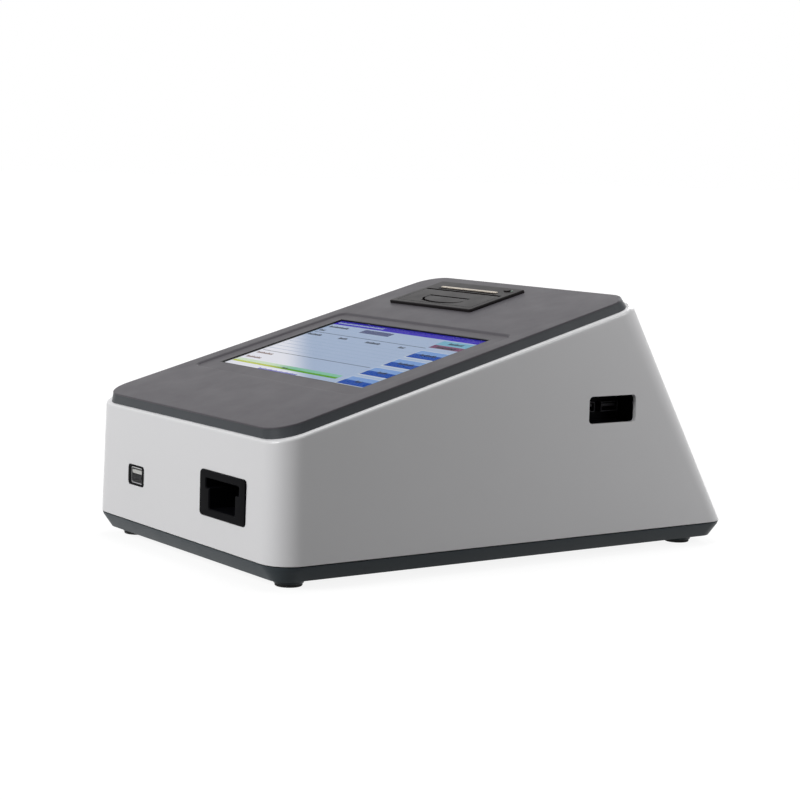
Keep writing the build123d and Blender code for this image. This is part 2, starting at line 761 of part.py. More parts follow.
rack_pitch = pi * rack_module
rack_start = pinion_y - rack_pitch * round((pinion_y - tray_front - 4.0) / rack_pitch)
rack_end = rack_start + rack_pitch * (rack_teeth - 1) + 1.0
with BuildPart() as tray_rack:
    with BuildSketch(side_plane(port_x - rack_width / 2)):
        tip_z = rack_pitch_z - 0.8 * rack_module
        with BuildLine():
            outline = [(rack_start - 1.0, rack_top_z), (rack_start - 1.0, rack_root_z)]
            for k in range(rack_teeth - 1):
                middle = rack_start + rack_pitch * (k + 0.5)
                outline.append((middle - 0.275 * rack_pitch, rack_root_z))
                outline.append((middle - 0.125 * rack_pitch, tip_z))
                outline.append((middle + 0.125 * rack_pitch, tip_z))
                outline.append((middle + 0.275 * rack_pitch, rack_root_z))
            outline += [(rack_end, rack_root_z), (rack_end, rack_top_z)]
            Polyline(*outline, close=True)
        make_face()
    extrude(amount=rack_width)
save(tray_rack, "tray_rack")

pinion_radius = pinion_teeth * rack_module / 2
pinion_z = rack_pitch_z - pinion_radius
motor_x = port_x - pinion_width / 2 - 5.0
with BuildPart() as drive_pinion:
    with BuildSketch(side_plane(port_x - pinion_width / 2, pinion_y, pinion_z)):
        with BuildLine():
            Polyline(*gear_outline(pinion_teeth, rack_module), close=True)
        make_face()
    extrude(amount=pinion_width)
    with BuildSketch(side_plane(motor_x + 0.2, pinion_y, pinion_z)):
        Circle(drive_shaft_radius)
    extrude(amount=pinion_width + 7.0)
save(drive_pinion, "drive_pinion")

bracket_x = motor_x - 1.5
with BuildPart() as tray_motor:
    with BuildSketch(side_plane(bracket_x, pinion_y, pinion_z)):
        Circle(tray_motor_radius)
    extrude(amount=-tray_motor_length)
    chamfer(tray_motor.edges().group_by(Axis.X)[0], length=0.8)
    with BuildSketch(side_plane(bracket_x, pinion_y, pinion_z)):
        Circle(3.0)
    extrude(amount=1.5)
save(tray_motor, "tray_motor")

with BuildPart() as motor_bracket:
    with BuildSketch(side_plane(bracket_x)):
        with Locations((pinion_y, (floor_top + pinion_z + 5.2) / 2)):
            Rectangle(16.0, pinion_z + 5.2 - floor_top)
        with Locations((pinion_y, pinion_z)):
            Circle(3.0 + screw_gap, mode=Mode.SUBTRACT)
    extrude(amount=1.4)
    with BuildSketch(Plane.XY.offset(floor_top)):
        with Locations((bracket_x - 5.0, pinion_y)):
            Rectangle(10.4, 16.0)
    extrude(amount=1.4)
save(motor_bracket, "motor_bracket")

# ---------------------------------------------------------------- optical reading head
head_size = (2 * guide_half, 40.0)
head_wall = 2.0
head_base = slot_top + 2.0
head_height = 24.0
lens_radius = 6.0
lens_sag = 2.0
with BuildPart() as optical_head:
    with BuildSketch(Plane.XY.offset(slot_top)):
        with Locations((port_x, head_y)):
            Rectangle(head_size[0], head_size[1])
    extrude(amount=2.0 + head_height)
    with BuildSketch(Plane.XY.offset(head_base)):
        with Locations((port_x, head_y)):
            Rectangle(head_size[0] - 2 * head_wall, head_size[1] - 2 * head_wall)
    extrude(amount=head_height, mode=Mode.SUBTRACT)
    with BuildSketch(Plane.XY.offset(slot_top)):
        with Locations((port_x, head_y)):
            Circle(lens_radius - 0.8)
    extrude(amount=2.0, mode=Mode.SUBTRACT)
    with BuildSketch(Plane.XY.offset(head_base)):
        with Locations((port_x, head_y)):
            Circle(lens_radius + 2.0)
            Circle(lens_radius + seat_gap, mode=Mode.SUBTRACT)
    extrude(amount=8.0)
save(optical_head, "optical_head")

with BuildPart() as lens:
    with BuildSketch(Plane.XZ.offset(-head_y)):
        with BuildLine():
            edge_top = head_base + 1.6
            crown = edge_top + lens_sag
            dome = (lens_radius**2 + lens_sag**2) / (2 * lens_sag)
            half_turn = acos(1 - lens_sag / dome) / 2
            middle = (port_x + dome * sin(half_turn), crown - dome * (1 - cos(half_turn)))
            Polyline(
                (port_x, crown),
                (port_x, head_base),
                (port_x + lens_radius, head_base),
                (port_x + lens_radius, edge_top),
            )
            ThreePointArc((port_x + lens_radius, edge_top), middle, (port_x, crown))
        make_face()
    revolve(axis=Axis((port_x, head_y, 0), (0, 0, 1)))
save(lens, "lens")

sensor_board_z = head_base + head_height
with BuildPart() as sensor_board:
    with BuildSketch(Plane.XY.offset(sensor_board_z)):
        with Locations((port_x, head_y)):
            Rectangle(head_size[0] - 2.0, head_size[1] - 2.0)
    extrude(amount=1.6)
    with BuildSketch(Plane.XY.offset(sensor_board_z)):
        with Locations((port_x, head_y)):
            Rectangle(10.0, 10.0)
    extrude(amount=-3.0)
    with BuildSketch(Plane.XY.offset(sensor_board_z + 1.6)):
        with Locations((port_x - 8.0, head_y + 12.0), (port_x + 9.0, head_y - 8.0)):
            Rectangle(12.0, 6.0)
    extrude(amount=2.4)
save(sensor_board, "sensor_board")

# ---------------------------------------------------------------- memory chip socket
chip_front = front_y + shell_wall + 0.9
chip_flange_y = front_y + chip_flange_setback
chip_metal_y = chip_flange_y + chip_metal_setback
with BuildPart() as chip_holder:
    with BuildSketch(front_plane(chip_front)):
        with Locations((chip_x, chip_z)):
            RectangleRounded(chip_size[0] + 6.0, chip_size[1] + 6.0, chip_corner + 1.0)
            RectangleRounded(chip_socket[0], chip_socket[1], 0.8, mode=Mode.SUBTRACT)
    extrude(amount=-chip_depth)
    with BuildSketch(front_plane(chip_flange_y)):
        with Locations((chip_x, chip_z)):
            RectangleRounded(
                chip_size[0] - 2 * seat_gap, chip_size[1] - 2 * seat_gap, chip_corner - seat_gap
            )
            RectangleRounded(chip_socket[0], chip_socket[1], 0.8, mode=Mode.SUBTRACT)
    extrude(amount=chip_flange_y - chip_front)
save(chip_holder, "chip_holder")

chip_inner = (chip_socket[0] - 2 * chip_socket_wall, chip_socket[1] - 2 * chip_socket_wall)
with BuildPart() as chip_contact_shell:
    with BuildSketch(front_plane(chip_metal_y)):
        with Locations((chip_x, chip_z)):
            RectangleRounded(chip_socket[0], chip_socket[1], 0.8)
            RectangleRounded(chip_inner[0], chip_inner[1], 0.5, mode=Mode.SUBTRACT)
    extrude(amount=-(chip_front + chip_depth - 1.6 - chip_metal_y))
    with BuildSketch(front_plane(chip_front + chip_depth - 3.0)):
        with Locations((chip_x, chip_z)):
            Rectangle(chip_inner[0] + 0.4, chip_inner[1] + 0.4)
    extrude(amount=-1.0)
save(chip_contact_shell, "chip_contact_shell")

tongue_z = chip_z + 2.0
with BuildPart() as chip_tongue_block:
    with BuildSketch(front_plane(chip_metal_y + 0.4)):
        with Locations((chip_x, tongue_z)):
            RectangleRounded(chip_tongue[0] - 0.4, chip_tongue[1], 0.4)
    extrude(amount=-(chip_front + chip_depth - 3.1 - chip_metal_y - 0.4))
save(chip_tongue_block, "chip_tongue")

chip_board_y = chip_front + chip_depth
with BuildPart() as chip_board:
    with BuildSketch(front_plane(chip_board_y)):
        with Locations((chip_x, (floor_top + chip_z + 14.0) / 2)):
            Rectangle(36.0, chip_z + 14.0 - floor_top)
    extrude(amount=-1.6)
    with BuildSketch(front_plane(chip_board_y + 1.6)):
        with Locations((chip_x - 8.0, chip_z - 12.0), (chip_x + 9.0, chip_z - 14.0)):
            Rectangle(9.0, 7.0)
    extrude(amount=-2.0)
save(chip_board, "chip_board")

# ---------------------------------------------------------------- side port bay
bay_flat_x = half_width - shell_wall - 1.6
with BuildPart() as side_bay:
    with BuildSketch(side_plane(bay_flat_x)):
        with Locations((bay_y, bay_z)):
            RectangleRounded(bay_size[0] + 5.0, bay_size[1] + 5.0, bay_corner + 1.0)
    extrude(amount=-bay_depth)
    with BuildSketch(side_plane(bay_flat_x)):
        with Locations((bay_y, bay_z)):
            RectangleRounded(bay_size[0], bay_size[1], bay_corner)
    extrude(amount=-(bay_depth - bay_wall), mode=Mode.SUBTRACT)
    with BuildSketch(side_plane(bay_flat_x)):
        with Locations((bay_y, bay_z)):
            with GridLocations(bay_size[0] / 2, 1.0, 2, 1):
                Rectangle(usb_size[0] + 2 * seat_gap, usb_size[1] + 2 * seat_gap)
    extrude(amount=-bay_depth - 1.0, mode=Mode.SUBTRACT)
save(side_bay, "side_bay")


def usb_socket(length):
    """Metal data socket with a tongue inside: mouth on the XY plane, body below it."""
    with BuildPart() as socket:
        with BuildSketch():
            Rectangle(usb_size[0], usb_size[1])
        extrude(amount=-length)
        with BuildSketch():
            Rectangle(usb_size[0] - 2 * usb_wall, usb_size[1] - 2 * usb_wall)
        extrude(amount=-(length - 2.0), mode=Mode.SUBTRACT)
        with BuildSketch(Plane.XY.offset(-1.0)):
            with Locations((0, 0.9)):
                Rectangle(usb_size[0] - 3.0, 1.5)
        extrude(amount=-(length - 2.0))
    return socket.part


usb_mouth_x = bay_flat_x - bay_depth + bay_wall + 3.0
side_socket = usb_socket(usb_length)
with BuildPart() as side_usb_sockets:
    with Locations(side_plane(usb_mouth_x, bay_y, bay_z)):
        with GridLocations(bay_size[0] / 2, 1.0, 2, 1):
            add(side_socket)
save(side_usb_sockets, "side_usb_sockets")

side_board_x = usb_mouth_x - usb_length
with BuildPart() as side_board:
    with BuildSketch(side_plane(side_board_x)):
        with Locations((bay_y, bay_z)):
            Rectangle(44.0, 26.0)
    extrude(amount=-1.6)
    with BuildSketch(side_plane(side_board_x - 1.6)):
        with Locations((bay_y - 6.0, bay_z - 5.0)):
            Rectangle(14.0, 6.0)
    extrude(amount=-3.0)
save(side_board, "side_board")

# ---------------------------------------------------------------- rear port recess
rear_cut_plane = Plane(
    origin=(0, rear_y - 0.3, seam_height),
    x_dir=(1, 0, 0),
    z_dir=(0, cos(radians(rear_lean)), sin(radians(rear_lean))),
)
rear_middle_z = sum(rear_z) / 2
rear_height = rear_z[1] - rear_z[0]
connector_z = floor_top + board_standoff + board_thickness
inlet_size = (9.4, 11.0)
network_size = (16.0, 13.4)
switch_size = (19.0, 13.0)
with BuildPart() as rear_port_plate:
    with BuildSketch(front_plane(rear_plate_y)):
        with Locations((0, rear_middle_z)):
            RectangleRounded(2 * rear_x_half, rear_height, 3.0)
    extrude(amount=-40.0)
    with BuildSketch(front_plane(rear_plate_y + rear_wall)):
        with Locations((0, rear_middle_z)):
            RectangleRounded(2 * (rear_x_half - rear_wall), rear_height - 2 * rear_wall, 1.6)
    extrude(amount=-40.0, mode=Mode.SUBTRACT)
    split(bisect_by=rear_cut_plane, keep=Keep.BOTTOM)
    with BuildSketch(front_plane(rear_plate_y - 1.0)):
        with Locations((inlet_x, connector_z + inlet_size[1] / 2)):
            Rectangle(inlet_size[0] + 2 * seat_gap, inlet_size[1] + 2 * seat_gap)
        with Locations((network_x, connector_z + network_size[1] / 2)):
            Rectangle(network_size[0] + 2 * seat_gap, network_size[1] + 2 * seat_gap)
        with Locations((rear_usb_x, connector_z + usb_size[1] / 2 + 4.0)):
            Rectangle(usb_size[0] + 2 * seat_gap, usb_size[1] + 2 * seat_gap)
        with Locations((switch_x, rear_middle_z)):
            Rectangle(switch_size[0] - 2.0, switch_size[1] - 2.0)
    extrude(amount=-(rear_wall + 2.0), mode=Mode.SUBTRACT)
save(rear_port_plate, "rear_port_plate")

with BuildPart() as power_inlet:
    with BuildSketch(front_plane(rear_plate_y - 11.0)):
        with Locations((inlet_x, connector_z + inlet_size[1] / 2)):
            Rectangle(inlet_size[0], inlet_size[1])
    extrude(amount=-(11.0 + rear_wall + 0.8))
    with BuildSketch(front_plane(rear_plate_y + rear_wall + 0.8)):
        with Locations((inlet_x, connector_z + inlet_size[1] / 2)):
            Circle(3.2)
    extrude(amount=9.0, mode=Mode.SUBTRACT)
    with BuildSketch(front_plane(rear_plate_y + rear_wall)):
        with Locations((inlet_x, connector_z + inlet_size[1] / 2)):
            Circle(1.0)
    extrude(amount=9.0)
save(power_inlet, "power_inlet")

with BuildPart() as network_socket:
    with BuildSketch(front_plane(rear_plate_y - 13.0)):
        with Locations((network_x, connector_z + network_size[1] / 2)):
            Rectangle(network_size[0], network_size[1])
    extrude(amount=-(13.0 + rear_wall + 0.6))
    with BuildSketch(front_plane(rear_plate_y + rear_wall + 0.6)):
        with Locations((network_x, connector_z + 6.4)):
            Rectangle(11.8, 7.0)
        with Locations((network_x, connector_z + 10.6)):
            Rectangle(6.0, 2.6)
    extrude(amount=11.0, mode=Mode.SUBTRACT)
save(network_socket, "network_socket")

rear_usb_plane = Plane(
    origin=(rear_usb_x, rear_plate_y + rear_wall + 0.6, connector_z + usb_size[1] / 2 + 4.0),
    x_dir=(-1, 0, 0),
    z_dir=(0, 1, 0),
)
rear_socket = usb_socket(14.0)
with BuildPart() as rear_usb_socket:
    with Locations(rear_usb_plane):
        add(rear_socket)
    with BuildSketch(Plane.XY.offset(connector_z)):
        with Locations((rear_usb_x, rear_plate_y - 6.0)):
            Rectangle(usb_size[0], 10.0)
    extrude(amount=4.0)
save(rear_usb_socket, "rear_usb_socket")

rocker_pivot_y = rear_plate_y + rear_wall - 1.0
with BuildPart() as switch_frame:
    with BuildSketch(front_plane(rear_plate_y + rear_wall + 1.2)):
        with Locations((switch_x, rear_middle_z)):
            RectangleRounded(switch_size[0], switch_size[1], 1.0)
    extrude(amount=1.2)
    with BuildSketch(front_plane(rear_plate_y + rear_wall)):
        with Locations((switch_x, rear_middle_z)):
            Rectangle(switch_size[0] - 2.0 - 2 * seat_gap, switch_size[1] - 2.0 - 2 * seat_gap)
    extrude(amount=12.0)
    with BuildSketch(front_plane(rear_plate_y + rear_wall + 1.2)):
        with Locations((switch_x, rear_middle_z)):
            Rectangle(rocker_size[0] + 2 * fit_gap, rocker_size[1] + 2 * fit_gap)
    extrude(amount=9.0, mode=Mode.SUBTRACT)
    axle_half = rocker_size[0] / 2 + 1.0
    with BuildSketch(side_plane(switch_x - axle_half, rocker_pivot_y, rear_middle_z)):
        Circle(rocker_axle_radius + 0.05)
    extrude(amount=2 * axle_half, mode=Mode.SUBTRACT)
save(switch_frame, "switch_frame")

rocker_half = rocker_size[1] / 2 - 0.4
with BuildPart() as power_rocker:
    with BuildSketch(side_plane(switch_x - rocker_size[0] / 2, rocker_pivot_y, rear_middle_z)):
        with BuildLine():
            Polyline(
                (-3.4, -2.0),
                (1.6, -rocker_half),
                (3.0, -rocker_half + 0.6),
                (2.3, 0.0),
                (3.0, rocker_half - 0.6),
                (1.6, rocker_half),
                (-3.4, 2.0),
                close=True,
            )
        make_face()
    extrude(amount=rocker_size[0])
    with BuildSketch(side_plane(switch_x - axle_half + 0.1, rocker_pivot_y, rear_middle_z)):
        Circle(rocker_axle_radius)
    extrude(amount=2 * axle_half - 0.2)
save(power_rocker, "power_rocker")

# ---------------------------------------------------------------- main circuit board
board_z = floor_top + board_standoff
with BuildPart() as mainboard:
    with BuildSketch(Plane.XY.offset(board_z)):
        with Locations((0, board_y)):
            RectangleRounded(board_size[0], board_size[1], 2.0)
        with Locations(*board_holes):
            Circle(1.2, mode=Mode.SUBTRACT)
    extrude(amount=board_thickness)
save(mainboard, "mainboard")

# place from the board's middle, footprint and height of each component
board_parts_list = (
    (-30.0, -20.0, 18.0, 18.0, 2.0),
    (10.0, -18.0, 12.0, 16.0, 1.6),
    (10.0, 4.0, 12.0, 16.0, 1.6),
    (48.0, -30.0, 26.0, 8.0, 7.0),
    (-58.0, -32.0, 8.0, 22.0, 7.0),
    (52.0, 12.0, 14.0, 14.0, 5.0),
    (-56.0, 6.0, 10.0, 10.0, 9.0),
)
with BuildPart() as board_components:
    for x, y, size_x, size_y, height in board_parts_list:
        with BuildSketch(Plane.XY.offset(connector_z)):
            with Locations((x, board_y + y)):
                Rectangle(size_x, size_y)
        extrude(amount=height)
save(board_components, "board_components")

with BuildPart() as heat_sink:
    sink_z = connector_z + board_parts_list[0][4]
    sink_place = (board_parts_list[0][0], board_y + board_parts_list[0][1])
    with BuildSketch(Plane.XY.offset(sink_z)):
        with Locations(sink_place):
            Rectangle(24.0, 24.0)
    extrude(amount=2.0)
    with BuildSketch(Plane.XY.offset(sink_z + 2.0)):
        with Locations(sink_place):
            with GridLocations(4.4, 1.0, 6, 1):
                Rectangle(1.4, 24.0)
    extrude(amount=8.0)
save(heat_sink, "heat_sink")

board_screw = pan_screw(6.0, 1.0, 2.4, 1.5)
with BuildPart() as board_screws:
    with Locations(*[(x, y, board_z + board_thickness) for x, y in board_holes]):
        add(board_screw)
save(board_screws, "board_screws")

# ---------------------------------------------------------------- thermal printer
body_front = printer_v - printer_body[1] / 2
body_rear = printer_v + printer_body[1] / 2
opening_front = door_front_v - fit_gap
opening_rear = hinge_v + door_thickness + fit_gap
door_half = door_size_u / 2
with BuildPart() as printer_bezel:
    with BuildSketch(slope_plane(printer_u, printer_v)):
        RectangleRounded(printer_size[0], printer_size[1], printer_corner)
    extrude(amount=printer_proud)
    fillet(
        printer_bezel.faces().sort_by(Axis((0, 0, 0), tuple(top_plane.z_dir)))[-1].edges(),
        radius=0.6,
    )
    with BuildSketch(slope_plane(printer_u, printer_v)):
        Rectangle(printer_body[0], printer_body[1])
        Rectangle(
            printer_body[0] - 2 * printer_wall,
            printer_body[1] - 2 * printer_wall,
            mode=Mode.SUBTRACT,
        )
    extrude(amount=-skirt_depth)
    # door opening and paper slot
    with BuildSketch(slope_plane(printer_u, 0, printer_proud)):
        with Locations((0, (opening_front + opening_rear) / 2)):
            Rectangle(door_size_u + 2 * fit_gap, opening_rear - opening_front)
        with Locations((0, sum(paper_slot_v) / 2)):
            Rectangle(paper_width + 1.6, paper_slot_v[1] - paper_slot_v[0])
    extrude(amount=-printer_proud, mode=Mode.SUBTRACT)
    # seats for the hinge pin, the feed button and the lamp
    pin_half = printer_body[0] / 2 - 0.5
    with BuildSketch(slope_side_plane(printer_u - pin_half, hinge_v, 0.0)):
        Circle(hinge_pin_radius + 0.02)
    extrude(amount=2 * pin_half, mode=Mode.SUBTRACT)
    with BuildSketch(slope_plane(*button_uv, printer_proud)):
        SlotOverall(button_size[0] + 2 * fit_gap, button_size[1] + 2 * fit_gap)
    extrude(amount=-printer_proud, mode=Mode.SUBTRACT)
    with BuildSketch(slope_plane(*lamp_uv, printer_proud)):
        Circle(lamp_radius + 0.02)
    extrude(amount=-printer_proud, mode=Mode.SUBTRACT)
save(printer_bezel, "printer_bezel")

gear_distance = gear_module * (platen_teeth + feed_teeth) / 2
feed_center = (platen_center[0], platen_center[1] - gear_distance)
cheek_inner = paper_width / 2 + cheek_gap
head_rear_v = platen_center[0] - platen_radius - fit_gap
head_front_v = head_rear_v - 1.8
with BuildPart() as printer_chassis:
    with BuildSketch(slope_plane(printer_u, printer_v, -skirt_depth)):
        Rectangle(printer_body[0], printer_body[1])
    extrude(amount=-(printer_depth - skirt_depth))
    with BuildSketch(slope_plane(printer_u, printer_v, -skirt_depth)):
        Rectangle(printer_body[0] - 2 * printer_wall, printer_body[1] - 2 * printer_wall)
    extrude(amount=-(printer_depth - skirt_depth - printer_wall), mode=Mode.SUBTRACT)
    # two cradles hold the paper roll
    cradle_front = body_front + 0.6
    cradle_rear = head_front_v - 1.4
    cradle_height = printer_depth - 18.0
    for u in (-20.0, 18.0):
        with BuildSketch(slope_side_plane(printer_u + u, 0, 0)):
            with Locations(((cradle_front + cradle_rear) / 2, cradle_height / 2 - printer_depth)):
                Rectangle(cradle_rear - cradle_front, cradle_height)
            with Locations(paper_center):
                Circle(paper_radius + fit_gap, mode=Mode.SUBTRACT)
        extrude(amount=2.0)
    # two cheeks carry the roller, the print head and the motor
    cheek_front = head_front_v - 0.6
    cheek_rear = body_rear - 0.6
    cheek_top = -4.0
    for u in (-cheek_inner - cheek_wall, cheek_inner):
        with BuildSketch(slope_side_plane(printer_u + u, 0, 0)):
            with Locations(((cheek_rear + cheek_front) / 2, (cheek_top - printer_depth) / 2)):
                Rectangle(cheek_rear - cheek_front, printer_depth + cheek_top)
            with Locations(platen_center):
                Circle(platen_axle_radius + 0.05, mode=Mode.SUBTRACT)
            with Locations(feed_center):
                Circle(feed_shaft_radius + 0.05, mode=Mode.SUBTRACT)
        extrude(amount=cheek_wall)
save(printer_chassis, "printer_chassis")

latch_pin_half = latch_half_width + 1.4
latch_axis = (latch_rear_v - 1.6, 0.6)


def latch_outline(half, front_shift, rear_v):
    """Tab outline with a bulging front edge, seen from above."""
    corner_v = latch_front_v - 1.8 + front_shift
    shoulder_v = latch_front_v + 2.0 + front_shift
    Polyline(
        (-half + 4.0, corner_v),
        (-half, shoulder_v),
        (-half, rear_v),
        (half, rear_v),
        (half, shoulder_v),
        (half - 4.0, corner_v),
    )
    ThreePointArc(
        (half - 4.0, corner_v), (0, latch_bulge_v + front_shift), (-half + 4.0, corner_v)
    )


with BuildPart() as printer_door:
    with BuildSketch(slope_plane(printer_u, 0, 0)):
        with Locations((0, (door_front_v + hinge_v) / 2)):
            Rectangle(door_size_u, hinge_v - door_front_v)
    extrude(amount=door_thickness)
    with BuildSketch(slope_side_plane(printer_u - door_half, hinge_v, 0)):
        Circle(door_thickness)
    extrude(amount=door_size_u)
    # thicker pad that holds the latch pocket
    with BuildSketch(slope_plane(printer_u, 0, 0)):
        with Locations((0, (door_front_v + latch_rear_v + 2.0) / 2)):
            Rectangle(2 * latch_half_width + 4.0, latch_rear_v + 2.0 - door_front_v)
    extrude(amount=-latch_pad_depth)
    with BuildSketch(slope_plane(printer_u, 0, door_thickness)):
        with BuildLine():
            latch_outline(latch_half_width, 0.0, latch_rear_v)
        make_face()
    extrude(amount=-(door_thickness + latch_pad_depth - 1.0), mode=Mode.SUBTRACT)
    with BuildSketch(slope_side_plane(printer_u - door_half, hinge_v, 0)):
        Circle(hinge_pin_radius + 0.05)
    extrude(amount=door_size_u, mode=Mode.SUBTRACT)
    with BuildSketch(slope_side_plane(printer_u - latch_pin_half, *latch_axis)):
        Circle(latch_pin_radius + 0.02)
    extrude(amount=2 * latch_pin_half, mode=Mode.SUBTRACT)
save(printer_door, "printer_door")

with BuildPart() as hinge_pin:
    with BuildSketch(slope_side_plane(printer_u - pin_half, hinge_v, 0)):
        Circle(hinge_pin_radius)
    extrude(amount=2 * pin_half)
save(hinge_pin, "hinge_pin")

with BuildPart() as latch_pin:
    with BuildSketch(slope_side_plane(printer_u - latch_pin_half, *latch_axis)):
        Circle(latch_pin_radius)
    extrude(amount=2 * latch_pin_half)
save(latch_pin, "latch_pin")

latch_half = latch_half_width - fit_gap
with BuildPart() as door_latch:
    with BuildSketch(slope_plane(printer_u, 0, door_thickness - 0.1)):
        with BuildLine():
            latch_outline(latch_half, latch_lip_gap, latch_axis[0])
        make_face()
    extrude(amount=-latch_thickness)
    with BuildSketch(slope_side_plane(printer_u - latch_half, *latch_axis)):
        Circle(1.2)
    extrude(amount=2 * latch_half)
    with BuildSketch(slope_side_plane(printer_u - latch_half, *latch_axis)):
        Circle(latch_pin_radius + 0.05)
    extrude(amount=2 * latch_half, mode=Mode.SUBTRACT)
save(door_latch, "door_latch")

with BuildPart() as tear_bar:
    tooth_count = int(tear_bar_size[0] / tear_tooth_pitch)
    tear_half = tooth_count * tear_tooth_pitch / 2
    with BuildSketch(slope_plane(printer_u, tear_bar_v, printer_proud)):
        with BuildLine():
            teeth_line = [(-tear_half, tear_bar_size[1])]
            for k in range(tooth_count):
                left = -tear_half + k * tear_tooth_pitch
                teeth_line.append((left, 0.0))
                teeth_line.append((left + tear_tooth_pitch / 2, -0.5))
            teeth_line += [(tear_half, 0.0), (tear_half, tear_bar_size[1])]
            Polyline(*teeth_line, close=True)
        make_face()
    extrude(amount=tear_bar_size[2])
save(tear_bar, "tear_bar")

with BuildPart() as paper_roll:
    with BuildSketch(slope_side_plane(printer_u - paper_width / 2, *paper_center)):
        Circle(paper_radius)
        Circle(paper_core_radius, mode=Mode.SUBTRACT)
    extrude(amount=paper_width)
save(paper_roll, "paper_roll")

with BuildPart() as paper_core:
    with BuildSketch(slope_side_plane(printer_u - paper_width / 2 - 0.4, *paper_center)):
        Circle(paper_core_radius)
        Circle(paper_core_radius - 1.2, mode=Mode.SUBTRACT)
    extrude(amount=paper_width + 0.8)
save(paper_core, "paper_core")

gear_out = cheek_inner + cheek_wall + 1.0 + feed_gear_width
with BuildPart() as platen_roller:
    with BuildSketch(slope_side_plane(printer_u - paper_width / 2, *platen_center)):
        Circle(platen_radius)
    extrude(amount=paper_width)
    with BuildSketch(slope_side_plane(printer_u - gear_out, *platen_center)):
        Circle(platen_axle_radius)
    extrude(amount=gear_out + cheek_inner + cheek_wall + 0.6)
save(platen_roller, "platen_roller")

with BuildPart() as platen_gear:
    with BuildSketch(slope_side_plane(printer_u - gear_out, *platen_center)):
        with BuildLine():
            Polyline(*gear_outline(platen_teeth, gear_module), close=True)
        make_face()
        Circle(platen_axle_radius, mode=Mode.SUBTRACT)
    extrude(amount=feed_gear_width)
save(platen_gear, "platen_gear")

shaft_seat = 2.0
with BuildPart() as feed_gear:
    with BuildSketch(slope_side_plane(printer_u - gear_out, *feed_center)):
        with BuildLine():
            Polyline(*gear_outline(feed_teeth, gear_module, 0.5), close=True)
        make_face()
    extrude(amount=feed_gear_width)
    with BuildSketch(slope_side_plane(printer_u - gear_out, *feed_center)):
        Circle(feed_shaft_radius)
    extrude(amount=feed_gear_width + 1.0 + cheek_wall + shaft_seat - 0.2)
save(feed_gear, "feed_gear")

with BuildPart() as feed_motor:
    with BuildSketch(slope_side_plane(printer_u - cheek_inner, *feed_center)):
        Circle(feed_motor_radius)
    extrude(amount=16.0)
    with BuildSketch(slope_side_plane(printer_u - cheek_inner, *feed_center)):
        Circle(feed_shaft_radius + 0.05)
    extrude(amount=shaft_seat, mode=Mode.SUBTRACT)
save(feed_motor, "feed_motor")

with BuildPart() as print_head:
    with BuildSketch(slope_plane(printer_u, 0, -4.4)):
        with Locations((0, (head_front_v + head_rear_v) / 2)):
            Rectangle(2 * cheek_inner - 0.2, head_rear_v - head_front_v)
    extrude(amount=-9.0)
save(print_head, "print_head")

with BuildPart() as feed_button:
    with BuildSketch(slope_plane(*button_uv, printer_proud + 0.7)):
        SlotOverall(button_size[0], button_size[1])
    extrude(amount=-(0.7 + printer_proud + 0.6))
    fillet(
        feed_button.faces().sort_by(Axis((0, 0, 0), tuple(top_plane.z_dir)))[-1].edges(),
        radius=0.4,
    )
    with BuildSketch(slope_plane(*button_uv, -fit_gap)):
        SlotOverall(button_size[0] + 1.6, button_size[1] + 1.6)
    extrude(amount=-0.8)
save(feed_button, "feed_button")

with BuildPart() as status_lamp:
    with BuildSketch(slope_plane(*lamp_uv, printer_proud + 0.3)):
        Circle(lamp_radius)
    extrude(amount=-(printer_proud + 1.3))
save(status_lamp, "status_lamp")
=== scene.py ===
"""Desktop rapid test reader: materials, screen picture, glass and studio around the frame."""

import json
import math

import bmesh
import bpy
from mathutils import Matrix, Vector


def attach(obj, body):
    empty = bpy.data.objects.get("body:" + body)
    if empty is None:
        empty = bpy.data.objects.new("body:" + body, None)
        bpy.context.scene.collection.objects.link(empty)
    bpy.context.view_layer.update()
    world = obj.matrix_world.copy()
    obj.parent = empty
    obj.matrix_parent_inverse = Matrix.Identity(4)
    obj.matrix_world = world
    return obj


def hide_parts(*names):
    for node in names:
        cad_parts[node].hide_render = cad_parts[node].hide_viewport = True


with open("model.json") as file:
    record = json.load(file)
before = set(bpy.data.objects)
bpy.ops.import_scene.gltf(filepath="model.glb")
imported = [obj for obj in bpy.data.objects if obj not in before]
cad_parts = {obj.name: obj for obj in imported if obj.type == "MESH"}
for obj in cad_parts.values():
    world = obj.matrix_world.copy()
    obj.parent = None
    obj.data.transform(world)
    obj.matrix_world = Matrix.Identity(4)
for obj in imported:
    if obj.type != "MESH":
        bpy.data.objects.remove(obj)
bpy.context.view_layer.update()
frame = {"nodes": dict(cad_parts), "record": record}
nodes = frame["nodes"]

MM = 0.001

# ---------------------------------------------------------------- places from the model
SLOPE = math.radians(15.3)
FRONT_Y = -166.0
PANEL_SETBACK = 2.7
PANEL_FRONT_HEIGHT = 80.5
PANEL_THICKNESS = 5.8
PLATE_NORMAL = Vector((0.0, -math.sin(SLOPE), math.cos(SLOPE)))
PLATE_UP = Vector((0.0, math.cos(SLOPE), math.sin(SLOPE)))
PLATE_ORIGIN = (
    Vector((0.0, FRONT_Y + PANEL_SETBACK, PANEL_FRONT_HEIGHT)) + PLATE_NORMAL * PANEL_THICKNESS
) * MM
WINDOW = (152.8, 91.6)
WINDOW_V = 118.3
GLASS_TOP = -1.9
GLASS_MARGIN = 3.0


